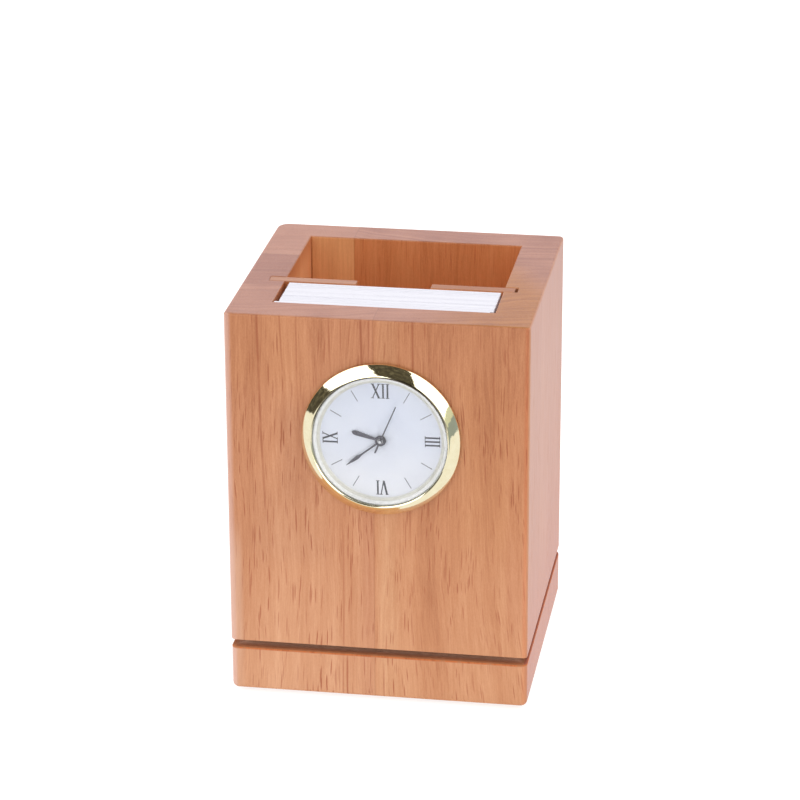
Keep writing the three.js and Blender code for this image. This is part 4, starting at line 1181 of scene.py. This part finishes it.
# ---------------------------------------------------------------- floor, world and light
def build_stage():
    m, g = material("pale_floor")
    pos, _ = g.object_mm()
    n = g.noise(pos, 0.004, 3.0, 0.5)
    p = g.principled(g.ramp(n, [(0.3, (0.40, 0.40, 0.40)), (0.7, (0.43, 0.43, 0.43))]), 0.85, Specular_IOR_Level=0.0,
                     Emission_Color=(1.0, 1.0, 1.0, 1.0), Emission_Strength=0.80)
    g.output(p.outputs[0])
    ob = make("stage_floor", [(-6000, -6000, -0.1), (6000, -6000, -0.1), (6000, 6000, -0.1), (-6000, 6000, -0.1)], [(0, 1, 2, 3)], m)
    ob.visible_glossy = False


def build_world():
    """Soft studio surround. Diffuse surfaces get an even pale light; mirrors see a tent of panels set round the
    front axis, with the gaps between them, so that polished metal isn't featureless."""
    world = bpy.data.worlds.new("studio")
    scene.world = world
    world.use_nodes = True
    g = Nodes(world.node_tree)
    tc = g.new("ShaderNodeTexCoord")
    x, y, z = g.split(tc.outputs["Generated"])
    u, v = g.add(x, 0.149), g.add(z, 0.361)
    radius = g.math("SQRT", g.add(g.mul(u, u), g.mul(v, v)))
    wob = g.sub(g.noise(tc.outputs["Generated"], 8.0, 3.0, 0.65), 0.5)
    # turn round the axis, from 0 at 6 o'clock through 9, 12 and 3 to 1 at 6, as a mirror ring shows it
    turn = g.add(g.mul(g.math("ARCTAN2", u, v), 1 / (2 * math.pi)), 0.5)
    turn = g.add(g.add(turn, g.mul(wob, 0.022)), g.mul(g.sub(radius, 1.15), 0.08))

    def at(degrees):
        """Place on the turn of a direction in degrees clockwise from 12 o'clock."""
        return ((degrees + 180.0) % 360.0) / 360.0

    mottled = g.noise(tc.outputs["Generated"], 13.0, 3.0, 0.7)
    white, cream, pale, grey_green, none = (2.6, 2.6, 2.6), (1.0, 1.0, 0.99), (0.72, 0.76, 0.62), (0.34, 0.40, 0.42), (0.0, 0.0, 0.0)
    tan = (0.72, 0.40, 0.20)
    panels = g.ramp(turn, [
        (0.0, tan), (at(218), cream), (at(282), none), (at(310), white), (at(353), none), (at(28), white), (at(61), pale), (at(68.5), grey_green),
        (at(78.5), cream), (at(150), tan),
    ], "CONSTANT")
    dark = g.ramp(mottled, [(0.3, (0.045, 0.040, 0.030)), (0.5, (0.085, 0.075, 0.055)), (0.75, (0.20, 0.18, 0.13))])
    gaps = g.math("LESS_THAN", g.split(panels)[0], 0.01)
    c = g.mix(gaps, panels, dark)
    # the middle, and everything behind the object, is plain
    c = g.mix(g.smooth(radius, 0.50, 0.44), c, (1.0, 1.0, 1.0, 1.0))
    c = g.mix(g.smooth(y, 0.62, 0.70), c, (0.94, 0.97, 1.14, 1.0))
    mirror = g.new("ShaderNodeBackground")
    g.put(mirror.inputs[0], c)
    mirror.inputs[1].default_value = 1.0
    # even light, a little stronger from above and from the left front
    lift = g.smooth(z, -0.1, 1.0, 0.86, 1.35)
    key = g.smooth(g.add(g.mul(x, -0.85), g.mul(y, -0.25)), 0.1, 0.95, 0.0, 0.40)
    even = g.new("ShaderNodeBackground")
    even.inputs[0].default_value = (1.0, 0.99, 0.98, 1.0)
    g.put(even.inputs[1], g.add(lift, key))
    seen = g.new("ShaderNodeBackground")
    seen.inputs[0].default_value = (1.0, 1.0, 1.0, 1.0)
    seen.inputs[1].default_value = 1.0
    path = g.new("ShaderNodeLightPath")
    m1 = g.new("ShaderNodeMixShader")
    g.put(m1.inputs[0], path.outputs["Is Glossy Ray"])
    g.put(m1.inputs[1], even.outputs[0])
    g.put(m1.inputs[2], mirror.outputs[0])
    m2 = g.new("ShaderNodeMixShader")
    g.put(m2.inputs[0], path.outputs["Is Camera Ray"])
    g.put(m2.inputs[1], m1.outputs[0])
    g.put(m2.inputs[2], seen.outputs[0])
    out = g.new("ShaderNodeOutputWorld")
    g.put(out.inputs[0], m2.outputs[0])


build_stage()
build_world()
